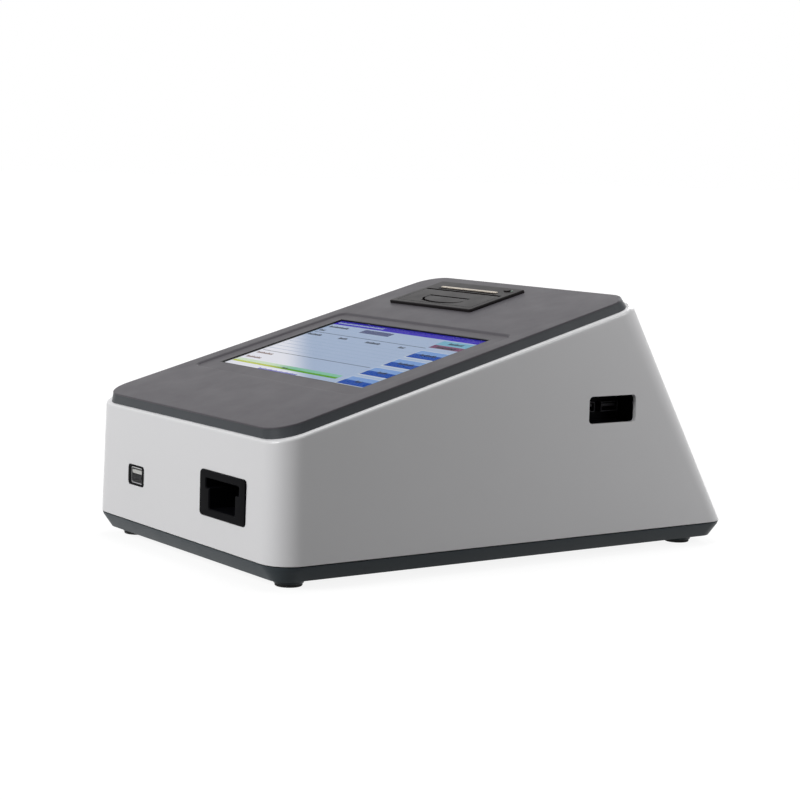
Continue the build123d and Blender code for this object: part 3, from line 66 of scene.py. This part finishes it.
def plate_matrix(u, v, height):
    """Frame on the sloping top: X right, Y up the slope, Z out of the surface."""
    place = PLATE_ORIGIN + (Vector((u, 0, 0)) + PLATE_UP * v + PLATE_NORMAL * height) * MM
    turn = Matrix((Vector((1, 0, 0)), PLATE_UP, PLATE_NORMAL)).transposed()
    return Matrix.Translation(place) @ turn.to_4x4()


# ---------------------------------------------------------------- materials
def new_material(name):
    material = bpy.data.materials.new(name)
    material.use_nodes = True
    shader = material.node_tree.nodes["Principled BSDF"]
    return material, material.node_tree, shader


def link(tree, out_node, out_name, in_node, in_name):
    tree.links.new(out_node.outputs[out_name], in_node.inputs[in_name])


def noise(tree, scale, detail=4.0, roughness=0.55, stretch=None):
    """Noise in object space, in cycles per metre."""
    where = tree.nodes.new("ShaderNodeTexCoord")
    texture = tree.nodes.new("ShaderNodeTexNoise")
    texture.inputs["Scale"].default_value = scale
    texture.inputs["Detail"].default_value = detail
    texture.inputs["Roughness"].default_value = roughness
    if stretch:
        mapping = tree.nodes.new("ShaderNodeMapping")
        mapping.inputs["Scale"].default_value = stretch
        link(tree, where, "Object", mapping, "Vector")
        link(tree, mapping, "Vector", texture, "Vector")
    else:
        link(tree, where, "Object", texture, "Vector")
    return texture


def remap(tree, source, output, low, high, start=0.3, end=0.7):
    """Value between low and high that follows a texture's output."""
    node = tree.nodes.new("ShaderNodeMapRange")
    node.inputs["From Min"].default_value = start
    node.inputs["From Max"].default_value = end
    node.inputs["To Min"].default_value = low
    node.inputs["To Max"].default_value = high
    link(tree, source, output, node, "Value")
    return node


def colour_mix(tree, factor_node, factor_output, first, second):
    ramp = tree.nodes.new("ShaderNodeValToRGB")
    ramp.color_ramp.elements[0].position = 0.3
    ramp.color_ramp.elements[1].position = 0.7
    ramp.color_ramp.elements[0].color = (*first, 1.0)
    ramp.color_ramp.elements[1].color = (*second, 1.0)
    link(tree, factor_node, factor_output, ramp, "Fac")
    return ramp


def rounded_normal(tree, radius, samples=6):
    bevel = tree.nodes.new("ShaderNodeBevel")
    bevel.samples = samples
    bevel.inputs["Radius"].default_value = radius * MM
    return bevel


def scaled(colour, factor):
    return tuple(min(1.0, channel * factor) for channel in colour)


def plastic(
    name,
    colour,
    roughness,
    grain=900.0,
    grain_depth=0.02,
    shade=0.05,
    coat=0.0,
    edge=0.25,
    specular=0.5,
    smear=0.12,
):
    """Moulded plastic: faint colour drift, moulded grain, uneven gloss and rounded edges.

    grain is in cycles per metre, grain_depth and edge in millimetres, shade and smear are
    shares of the colour and of the roughness.
    """
    material, tree, shader = new_material(name)
    drift = noise(tree, 14.0, 3.0)
    tint = colour_mix(tree, drift, "Fac", scaled(colour, 1.0 - shade), scaled(colour, 1.0 + shade))
    link(tree, tint, "Color", shader, "Base Color")
    wear = noise(tree, 55.0, 5.0)
    gloss = remap(tree, wear, "Fac", roughness * (1.0 - smear), min(1.0, roughness * (1.0 + smear)))
    link(tree, gloss, "Result", shader, "Roughness")
    shader.inputs["Specular IOR Level"].default_value = specular
    shader.inputs["Coat Weight"].default_value = coat
    shader.inputs["Coat Roughness"].default_value = 0.12
    bumps = noise(tree, grain, 2.0, 0.6)
    bump = tree.nodes.new("ShaderNodeBump")
    bump.inputs["Strength"].default_value = 0.5
    bump.inputs["Distance"].default_value = grain_depth * MM
    link(tree, bumps, "Fac", bump, "Height")
    if edge:
        link(tree, rounded_normal(tree, edge), "Normal", bump, "Normal")
    link(tree, bump, "Normal", shader, "Normal")
    return material


def metal(name, colour, roughness, stretch=(1.0, 40.0, 1.0), edge=0.15, scale=60.0):
    """Metal with drawn or brushed lines along one direction."""
    material, tree, shader = new_material(name)
    shader.inputs["Metallic"].default_value = 1.0
    lines = noise(tree, scale, 6.0, 0.7, stretch)
    tint = colour_mix(tree, lines, "Fac", scaled(colour, 0.86), scaled(colour, 1.08))
    link(tree, tint, "Color", shader, "Base Color")
    gloss = remap(tree, lines, "Fac", roughness * 0.75, roughness * 1.3)
    link(tree, gloss, "Result", shader, "Roughness")
    bump = tree.nodes.new("ShaderNodeBump")
    bump.inputs["Strength"].default_value = 0.35
    bump.inputs["Distance"].default_value = 0.01 * MM
    link(tree, lines, "Fac", bump, "Height")
    if edge:
        link(tree, rounded_normal(tree, edge), "Normal", bump, "Normal")
    link(tree, bump, "Normal", shader, "Normal")
    return material


def glowing(name, colour, second=None, along=(1.0, 0.0, 0.0), span=(0.0, 1.0)):
    """Lit part of the screen picture: one colour, or a soft change between two across it."""
    material, tree, shader = new_material(name)
    shader.inputs["Roughness"].default_value = 0.5
    shader.inputs["Specular IOR Level"].default_value = 0.0
    shader.inputs["Base Color"].default_value = (0.01, 0.01, 0.01, 1.0)
    shader.inputs["Emission Strength"].default_value = 1.0
    pixels = noise(tree, 3200.0, 1.0)
    tint = colour_mix(tree, pixels, "Fac", scaled(colour, 0.97), scaled(colour, 1.03))
    if second is None:
        link(tree, tint, "Color", shader, "Emission Color")
        return material
    where = tree.nodes.new("ShaderNodeTexCoord")
    reach = tree.nodes.new("ShaderNodeVectorMath")
    reach.operation = "DOT_PRODUCT"
    reach.inputs[1].default_value = along
    link(tree, where, "Object", reach, "Vector")
    share = tree.nodes.new("ShaderNodeMapRange")
    share.interpolation_type = "SMOOTHSTEP"
    share.inputs["From Min"].default_value = span[0]
    share.inputs["From Max"].default_value = span[1]
    link(tree, reach, "Value", share, "Value")
    blend = tree.nodes.new("ShaderNodeMix")
    blend.data_type = "RGBA"
    blend.inputs[7].default_value = (*second, 1.0)
    tree.links.new(share.outputs["Result"], blend.inputs[0])
    tree.links.new(tint.outputs["Color"], blend.inputs[6])
    tree.links.new(blend.outputs[2], shader.inputs["Emission Color"])
    return material


def set_material(name, material):
    node = nodes[name]
    node.data.materials.clear()
    node.data.materials.append(material)


WHITE = (0.785, 0.783, 0.795)
PANEL = (0.100, 0.095, 0.105)
BAND = (0.066, 0.071, 0.078)
SLATE = (0.048, 0.060, 0.068)
PRINTER = (0.012, 0.010, 0.011)

shell_white = plastic(
    "shell_white", WHITE, 0.31, 900.0, 0.004, 0.01, coat=0.1, edge=0.5, smear=0.06
)
panel_grey = plastic("panel_grey", PANEL, 0.42, 1500.0, 0.02, 0.02, edge=0.3, specular=0.08)
band_slate = plastic("band_slate", BAND, 0.40, 1500.0, 0.01, 0.03, edge=0.3, specular=0.1)
base_slate = plastic("base_slate", SLATE, 0.40, 1300.0, 0.01, 0.03, edge=0.5, specular=0.12)
black_plastic = plastic(
    "black_plastic", (0.006, 0.006, 0.007), 0.42, 1600.0, 0.015, 0.1, specular=0.3
)
bezel_black = plastic(
    "bezel_black", (0.003, 0.003, 0.004), 0.34, 1600.0, 0.01, 0.1, edge=0.3, specular=0.02
)
printer_black = plastic(
    "printer_black", PRINTER, 0.34, 1800.0, 0.02, 0.08, edge=0.35, specular=0.06
)
tray_grey = plastic("tray_grey", (0.020, 0.020, 0.022), 0.45, 1400.0, 0.02, 0.06, specular=0.3)
rubber = plastic("foot_rubber", (0.012, 0.012, 0.012), 0.75, 700.0, 0.06, 0.15, specular=0.3)
roller_rubber = plastic("roller_rubber", (0.018, 0.018, 0.018), 0.65, 2500.0, 0.02, 0.1)
gear_white = plastic("gear_white", (0.70, 0.68, 0.60), 0.42, 900.0, 0.02, 0.04, edge=0.1)
tongue_pale = plastic("tongue_pale", (0.55, 0.55, 0.53), 0.5, 1200.0, 0.02, 0.04, edge=0.1)
paper_white = plastic("paper_white", (0.82, 0.82, 0.80), 0.85, 2600.0, 0.03, 0.03, edge=0.05)
core_card = plastic("core_card", (0.36, 0.25, 0.14), 0.9, 1600.0, 0.06, 0.12, edge=0.1)
component_black = plastic("component_black", (0.018, 0.018, 0.02), 0.5, 1800.0, 0.02, 0.1)
board_green = plastic("board_green", (0.015, 0.13, 0.055), 0.35, 420.0, 0.03, 0.2, edge=0.05)
display_black = plastic("display_black", (0.02, 0.022, 0.026), 0.25, 900.0, 0.01, 0.1)
steel = metal("steel", (0.56, 0.56, 0.57), 0.32)
dark_steel = metal("dark_steel", (0.022, 0.022, 0.024), 0.45)
tear_steel = metal("tear_steel", (0.50, 0.45, 0.39), 0.45)
axle_steel = metal("axle_steel", (0.66, 0.66, 0.67), 0.20, (40.0, 1.0, 1.0))
aluminium = metal("aluminium", (0.68, 0.68, 0.69), 0.36, (1.0, 30.0, 1.0))
lamp_green = plastic("lamp_green", (0.015, 0.07, 0.03), 0.25, 600.0, 0.01, 0.05, coat=0.4)

glass_clear, glass_tree, glass_shader = new_material("screen_glass")
glass_shader.inputs["Base Color"].default_value = (0.98, 0.99, 1.0, 1.0)
glass_shader.inputs["Transmission Weight"].default_value = 1.0
glass_shader.inputs["IOR"].default_value = 1.02
glass_smudge = remap(glass_tree, noise(glass_tree, 30.0, 5.0), "Fac", 0.01, 0.03)
link(glass_tree, glass_smudge, "Result", glass_shader, "Roughness")

slot_material = {
    "shell_white": shell_white,
    "base_slate": base_slate,
    "band_slate": band_slate,
    "panel_grey": panel_grey,
    "black_plastic": black_plastic,
    "printer_black": printer_black,
    "foot_rubber": rubber,
    "screen_glass": glass_clear,
    "display_black": display_black,
    "steel": steel,
    "axle_steel": axle_steel,
    "aluminium": aluminium,
    "board_green": board_green,
    "component_black": component_black,
    "gear_white": gear_white,
    "tray_grey": tray_grey,
    "paper_white": paper_white,
    "core_card": core_card,
    "lens_glass": glass_clear,
    "lamp_green": lamp_green,
    "tongue_pale": tongue_pale,
    "roller_rubber": roller_rubber,
}
for entry in frame["record"]["subparts"]:
    set_material(entry["node"], slot_material[entry["material_slot"]])
for name in ("port_bezel", "side_bay", "tray_guide", "chip_holder"):
    set_material(name, bezel_black)
set_material("tear_bar", tear_steel)
set_material("side_usb_sockets", dark_steel)

# facets of the moulded rims are shaded as the smooth surfaces they stand for
for node in nodes.values():
    mesh = node.data
    if mesh.has_custom_normals:
        with bpy.context.temp_override(object=node, active_object=node, selected_objects=[node]):
            bpy.ops.mesh.customdata_custom_splitnormals_clear()
    mesh.polygons.foreach_set("use_smooth", [True] * len(mesh.polygons))
    weld = node.modifiers.new("weld", "WELD")
    weld.merge_threshold = 0.002 * MM
    split = node.modifiers.new("split", "EDGE_SPLIT")
    split.split_angle = math.radians(32.0)
    split.use_edge_sharp = False


# ---------------------------------------------------------------- screen
def add_mesh(name, bm, matrix, materials):
    mesh = bpy.data.meshes.new(name)
    bm.to_mesh(mesh)
    bm.free()
    piece = bpy.data.objects.new(name, mesh)
    bpy.context.scene.collection.objects.link(piece)
    piece.matrix_world = matrix
    for material in materials:
        mesh.materials.append(material)
    return piece


def add_plate(bm, x0, y0, x1, y1, z, material_index, thick=0.02):
    """Thin upright-sided plate, corners in millimetres."""
    corners = [(x0, y0), (x1, y0), (x1, y1), (x0, y1)]
    low = [bm.verts.new((x * MM, y * MM, (z - thick) * MM)) for x, y in corners]
    high = [bm.verts.new((x * MM, y * MM, z * MM)) for x, y in corners]
    faces = [bm.faces.new(high), bm.faces.new(list(reversed(low)))]
    for k in range(4):
        n = (k + 1) % 4
        faces.append(bm.faces.new((low[k], low[n], high[n], high[k])))
    for face in faces:
        face.material_index = material_index


half_w, half_h = WINDOW[0] / 2, WINDOW[1] / 2
SKY = (0.328, 0.407, 0.552)
# painted reflection: the picture's blue pales to near white towards the lower left, standing for
# light reflected on the screen glass
PAINTED_GLASS_REFLECTION = (0.72, 0.72, 0.77)
TO_LOWER_LEFT = (-1.0, -1.5, 0.0)
TO_LEFT = (-1.0, 0.0, 0.0)
DOWN_SLOPE = (0.0, -1.0, 0.0)
PAINTED_REFLECTION_SPAN = (0.040, 0.078)
TITLE_SPAN = (-0.045, -0.040)
# the bar's two tones are its own colours; their paling towards the left is painted glare from the
# reflection on the glass
BAR_PAINTED_GLARE_SPAN = (0.008, 0.040)
picture_looks = {
    # the base glows with the painted glass reflection over its lower left
    "base": glowing("picture_base", SKY, PAINTED_GLASS_REFLECTION, TO_LOWER_LEFT, PAINTED_REFLECTION_SPAN),
    "title": glowing(
        "picture_title", (0.024, 0.018, 0.29), (0.030, 0.012, 0.40), DOWN_SLOPE, TITLE_SPAN
    ),
    "box": glowing("picture_box", (0.078, 0.093, 0.190)),
    "line": glowing("picture_line", (0.020, 0.030, 0.045)),
    "rule": glowing("picture_rule", (0.285, 0.360, 0.490)),
    "cyan": glowing("picture_cyan", (0.155, 0.366, 0.485)),
    "maroon": glowing("picture_maroon", (0.159, 0.056, 0.117)),
    "button_low": glowing("picture_button_low", (0.001, 0.055, 0.330)),
    "button_high": glowing("picture_button_high", (0.165, 0.290, 0.560)),
    "button_rim": glowing("picture_button_rim", (0.52, 0.57, 0.60)),
    # second colours of both bar tones: painted glare at the bar's left end
    "bar_low": glowing(
        "picture_bar_low", (0.075, 0.290, 0.004), (0.46, 0.51, 0.08), TO_LEFT, BAR_PAINTED_GLARE_SPAN
    ),
    "bar_high": glowing(
        "picture_bar_high", (0.190, 0.450, 0.310), (0.57, 0.69, 0.50), TO_LEFT, BAR_PAINTED_GLARE_SPAN
    ),
    "violet": glowing("picture_violet", (0.090, 0.075, 0.420)),
    "brown": glowing("picture_brown", (0.200, 0.130, 0.110)),
}
look_index = {look: index for index, look in enumerate(picture_looks)}

# the layout is in millimetres: u across from the window's middle, v up the sloping plate
LAYER_STEP = 0.03
STROKE_PITCH = 1.5
STROKE_WIDTH = 1.15
STROKE_RISES = (1.0, 0.75, 0.75, 0.85)
TEXT_LEFT = -74.0
TITLE_LOW = 157.3
TITLE_MIDDLE = 160.6
PRINT_HEIGHT = 2.8
TABLE_TOP = 141.2
TABLE_LOW = 101.8
TABLE_LINE = 0.5
HEADING_V = 137.0
ROW_COUNT = 6
ROW_LOW = 107.0
ROW_PITCH = 4.9
ROW_LINE = 0.4
BAR_LEFT, BAR_RIGHT = -75.5, 38.8
BAR_HEIGHTS = (79.6, 81.9, 85.4)
TAB_CYAN = (43.8, 148.9, half_w - 0.6, 155.7)
TAB_MAROON = (44.4, 143.2, half_w - 1.2, 148.5)
BUTTON_LEFT, BUTTON_RIGHT = 46.0, half_w - 2.2
BUTTON_HEIGHT = 12.0
BUTTON_SPLIT = 6.6
BUTTON_RIM_SIDE, BUTTON_RIM_BELOW, BUTTON_RIM_ABOVE = 0.8, 0.9, 0.6
BUTTON_LABEL = (61.4, 5.9)
BUTTON_ROWS = ((75.2, 3.5), (91.8, 4.8), (108.4, 7.5), (125.0, 8.0))
PICTURE_BELOW_GLASS = 0.33

picture = bmesh.new()
add_plate(picture, -half_w, -half_h, half_w, half_h, 0.0, look_index["base"])


def picture_box(u0, v0, u1, v1, look, layer):
    add_plate(picture, u0, v0 - WINDOW_V, u1, v1 - WINDOW_V, LAYER_STEP * layer, look_index[look])


def strokes(u0, u1, v, height, look, layer):
    """Row of short upright strokes that stands for a line of small print."""
    low = v - height / 2
    for k in range(int((u1 - u0) / STROKE_PITCH)):
        left = u0 + STROKE_PITCH * k
        rise = height * STROKE_RISES[k % len(STROKE_RISES)]
        picture_box(left, low, left + STROKE_WIDTH, low + rise, look, layer)


def touch_button(low, label_half):
    """Two-tone button with a pale rim and a label in the middle."""
    split = low + BUTTON_SPLIT
    top = low + BUTTON_HEIGHT
    picture_box(
        BUTTON_LEFT - BUTTON_RIM_SIDE,
        low - BUTTON_RIM_BELOW,
        BUTTON_RIGHT + BUTTON_RIM_SIDE,
        top + BUTTON_RIM_ABOVE,
        "button_rim",
        1,
    )
    picture_box(BUTTON_LEFT, low, BUTTON_RIGHT, split, "button_low", 2)
    picture_box(BUTTON_LEFT, split, BUTTON_RIGHT, top, "button_high", 2)
    label_u, label_rise = BUTTON_LABEL
    strokes(label_u - label_half, label_u + label_half, low + label_rise, 3.0, "line", 3)


# title strip, box, table with its rules, and headings
picture_box(-half_w, TITLE_LOW, half_w, WINDOW_V + half_h, "title", 1)
strokes(TEXT_LEFT, -24.0, TITLE_MIDDLE, 2.0, "rule", 2)
picture_box(-36.8, 149.6, -6.0, 155.4, "box", 1)
picture_box(TEXT_LEFT, TABLE_TOP, 44.0, TABLE_TOP + TABLE_LINE, "line", 1)
picture_box(TEXT_LEFT, TABLE_LOW, 42.0, TABLE_LOW + TABLE_LINE, "line", 1)
for k in range(ROW_COUNT):
    row_v = ROW_LOW + ROW_PITCH * k
    picture_box(TEXT_LEFT, row_v, 43.0, row_v + ROW_LINE, "rule", 1)
for u0, u1, v in (
    (-73.5, -51.3, 153.0),
    (TEXT_LEFT, -67.0, 145.6),
    (-74.7, -59.5, HEADING_V),
    (-40.0, -31.0, HEADING_V),
    (-11.0, 4.5, HEADING_V),
    (23.4, 30.5, HEADING_V),
):
    strokes(u0, u1, v, PRINT_HEIGHT, "line", 1)
strokes(-73.7, -54.4, 97.6, 2.6, "brown", 1)
strokes(-73.2, -56.1, 89.5, 2.6, "brown", 1)

# progress bar in two tones, with a line of print on it and one below
picture_box(BAR_LEFT, BAR_HEIGHTS[0], BAR_RIGHT, BAR_HEIGHTS[1], "bar_low", 1)
picture_box(BAR_LEFT, BAR_HEIGHTS[1], BAR_RIGHT, BAR_HEIGHTS[2], "bar_high", 1)
strokes(-20.5, -14.0, 81.8, 1.8, "line", 2)
strokes(-37.5, 5.7, 75.4, 2.2, "violet", 1)

# the right column: two tabs over four buttons
picture_box(*TAB_CYAN, "cyan", 1)
picture_box(*TAB_MAROON, "maroon", 1)
strokes(53.0, 67.0, 152.3, PRINT_HEIGHT, "line", 2)
strokes(50.0, 68.0, 145.3, PRINT_HEIGHT, "line", 2)
for button_low, label_half in BUTTON_ROWS:
    touch_button(button_low, label_half)

screen_picture = add_mesh(
    "screen_picture",
    picture,
    plate_matrix(0.0, WINDOW_V, GLASS_TOP - PICTURE_BELOW_GLASS),
    picture_looks.values(),
)
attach(screen_picture, "case")

GLASS_THICKNESS = 0.22
GLASS_CORNER = 1.5
UPRIGHT = 1e-6
glass = bmesh.new()
glass_w, glass_h = half_w + GLASS_MARGIN, half_h + GLASS_MARGIN
add_plate(glass, -glass_w, -glass_h, glass_w, glass_h, 0.0, 0, GLASS_THICKNESS)
bmesh.ops.bevel(
    glass,
    geom=[e for e in glass.edges if abs(e.verts[0].co.z - e.verts[1].co.z) > UPRIGHT],
    offset=GLASS_CORNER * MM,
    segments=4,
    affect="EDGES",
)
screen_glass = add_mesh(
    "screen_glass", glass, plate_matrix(0.0, WINDOW_V, GLASS_TOP), [glass_clear]
)
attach(screen_glass, "case")
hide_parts("touch_glass")

# ---------------------------------------------------------------- studio
FLOOR_HALF = 30.0
GLOW_NEAR, GLOW_NEAR_AT = 0.88, 0.4
GLOW_FAR, GLOW_FAR_AT = 1.0, 2.5
AMBIENT = 0.08
OBJECT_MIDDLE = (0.0, 0.0, 0.08)

floor_mesh = bpy.data.meshes.new("floor")
floor_mesh.from_pydata(
    [
        (-FLOOR_HALF, -FLOOR_HALF, 0),
        (FLOOR_HALF, -FLOOR_HALF, 0),
        (FLOOR_HALF, FLOOR_HALF, 0),
        (-FLOOR_HALF, FLOOR_HALF, 0),
    ],
    [],
    [(0, 1, 2, 3)],
)
floor = bpy.data.objects.new("floor", floor_mesh)
bpy.context.scene.collection.objects.link(floor)
floor_material, floor_tree, floor_shader = new_material("floor")
floor_shader.inputs["Base Color"].default_value = (0.18, 0.18, 0.18, 1.0)
floor_shader.inputs["Roughness"].default_value = 0.9
floor_shader.inputs["Specular IOR Level"].default_value = 0.1
floor_shader.inputs["Emission Color"].default_value = (1.0, 1.0, 1.0, 1.0)


def seen_directly(tree):
    """1 for rays from the camera, mirrors and glass, 0 for rays that light the scene."""
    path = tree.nodes.new("ShaderNodeLightPath")
    total = path.outputs["Is Camera Ray"]
    for name in ("Is Glossy Ray", "Is Transmission Ray"):
        both = tree.nodes.new("ShaderNodeMath")
        both.operation = "ADD"
        both.use_clamp = True
        tree.links.new(total, both.inputs[0])
        tree.links.new(path.outputs[name], both.inputs[1])
        total = both.outputs[0]
    return total


floor_glow = floor_tree.nodes.new("ShaderNodeMath")
floor_glow.operation = "MULTIPLY"
floor_where = floor_tree.nodes.new("ShaderNodeTexCoord")
floor_reach = floor_tree.nodes.new("ShaderNodeVectorMath")
floor_reach.operation = "LENGTH"
link(floor_tree, floor_where, "Object", floor_reach, "Vector")
floor_level = floor_tree.nodes.new("ShaderNodeMapRange")
floor_level.inputs["From Min"].default_value = GLOW_NEAR_AT
floor_level.inputs["From Max"].default_value = GLOW_FAR_AT
floor_level.inputs["To Min"].default_value = GLOW_NEAR
floor_level.inputs["To Max"].default_value = GLOW_FAR
link(floor_tree, floor_reach, "Value", floor_level, "Value")
floor_tree.links.new(floor_level.outputs["Result"], floor_glow.inputs[1])
floor_tree.links.new(seen_directly(floor_tree), floor_glow.inputs[0])
floor_tree.links.new(floor_glow.outputs[0], floor_shader.inputs["Emission Strength"])
floor_mesh.materials.append(floor_material)

world = bpy.data.worlds.new("studio")
bpy.context.scene.world = world
world.use_nodes = True
world_tree = world.node_tree
background = world_tree.nodes["Background"]
background.inputs["Color"].default_value = (1.0, 1.0, 1.0, 1.0)
ambient = world_tree.nodes.new("ShaderNodeMapRange")
ambient.inputs["To Min"].default_value = AMBIENT
ambient.inputs["To Max"].default_value = 1.0
world_tree.links.new(seen_directly(world_tree), ambient.inputs["Value"])
world_tree.links.new(ambient.outputs["Result"], background.inputs["Strength"])


def area_light(name, place, aim, width, height, power):
    """Soft rectangular lamp at a place, turned towards aim; metres and watts."""
    lamp = bpy.data.lights.new(name, "AREA")
    lamp.shape = "RECTANGLE"
    lamp.size = width
    lamp.size_y = height
    lamp.energy = power
    holder = bpy.data.objects.new(name, lamp)
    bpy.context.scene.collection.objects.link(holder)
    holder.location = place
    holder.rotation_euler = (Vector(aim) - Vector(place)).to_track_quat("-Z", "Y").to_euler()


area_light("key", (0.0, -2.2, 1.1), OBJECT_MIDDLE, 1.0, 1.0, 38.0)
area_light("top", (-0.2, 0.3, 2.2), OBJECT_MIDDLE, 1.4, 1.6, 16.0)
area_light("right_fill", (0.46, 0.40, 0.36), (0.1, 0.08, 0.09), 0.30, 0.30, 1.1)
area_light("back_fill", (-1.0, 1.6, 0.9), OBJECT_MIDDLE, 0.8, 0.8, 8.0)

# ---------------------------------------------------------------- camera
AZIMUTH = math.radians(53.69)
ELEVATION = math.radians(7.02)
ROLL = math.radians(1.77)
DISTANCE = 1.2189
FOCAL_PIXELS = 1989.4
IMAGE_PIXELS = 800.0
SENSOR_WIDTH = 36.0
TARGET = Vector((0.0, -0.0005, 0.0756))
OFF_CENTRE = (16.66, 14.81)
back = Vector(
    (
        math.sin(AZIMUTH) * math.cos(ELEVATION),
        -math.cos(AZIMUTH) * math.cos(ELEVATION),
        math.sin(ELEVATION),
    )
)
level_right = Vector((math.cos(AZIMUTH), math.sin(AZIMUTH), 0.0))
level_up = back.cross(level_right)
camera_right = level_right * math.cos(ROLL) + level_up * math.sin(ROLL)
camera_up = level_up * math.cos(ROLL) - level_right * math.sin(ROLL)
look = (
    -back
    - camera_right * (OFF_CENTRE[0] / FOCAL_PIXELS)
    + camera_up * (OFF_CENTRE[1] / FOCAL_PIXELS)
).normalized()
camera_right = look.cross(camera_up).normalized()
camera_up = camera_right.cross(look)
camera_data = bpy.data.cameras.new("camera")
camera_data.sensor_width = SENSOR_WIDTH
camera_data.lens = FOCAL_PIXELS / IMAGE_PIXELS * SENSOR_WIDTH
camera_data.clip_start = 0.05
camera_data.clip_end = 200.0
camera = bpy.data.objects.new("camera", camera_data)
bpy.context.scene.collection.objects.link(camera)
turn = Matrix((camera_right, camera_up, -look)).transposed().to_4x4()
camera.matrix_world = Matrix.Translation(TARGET + back * DISTANCE) @ turn
bpy.context.scene.camera = camera
bpy.context.scene.view_settings.view_transform = "Standard"
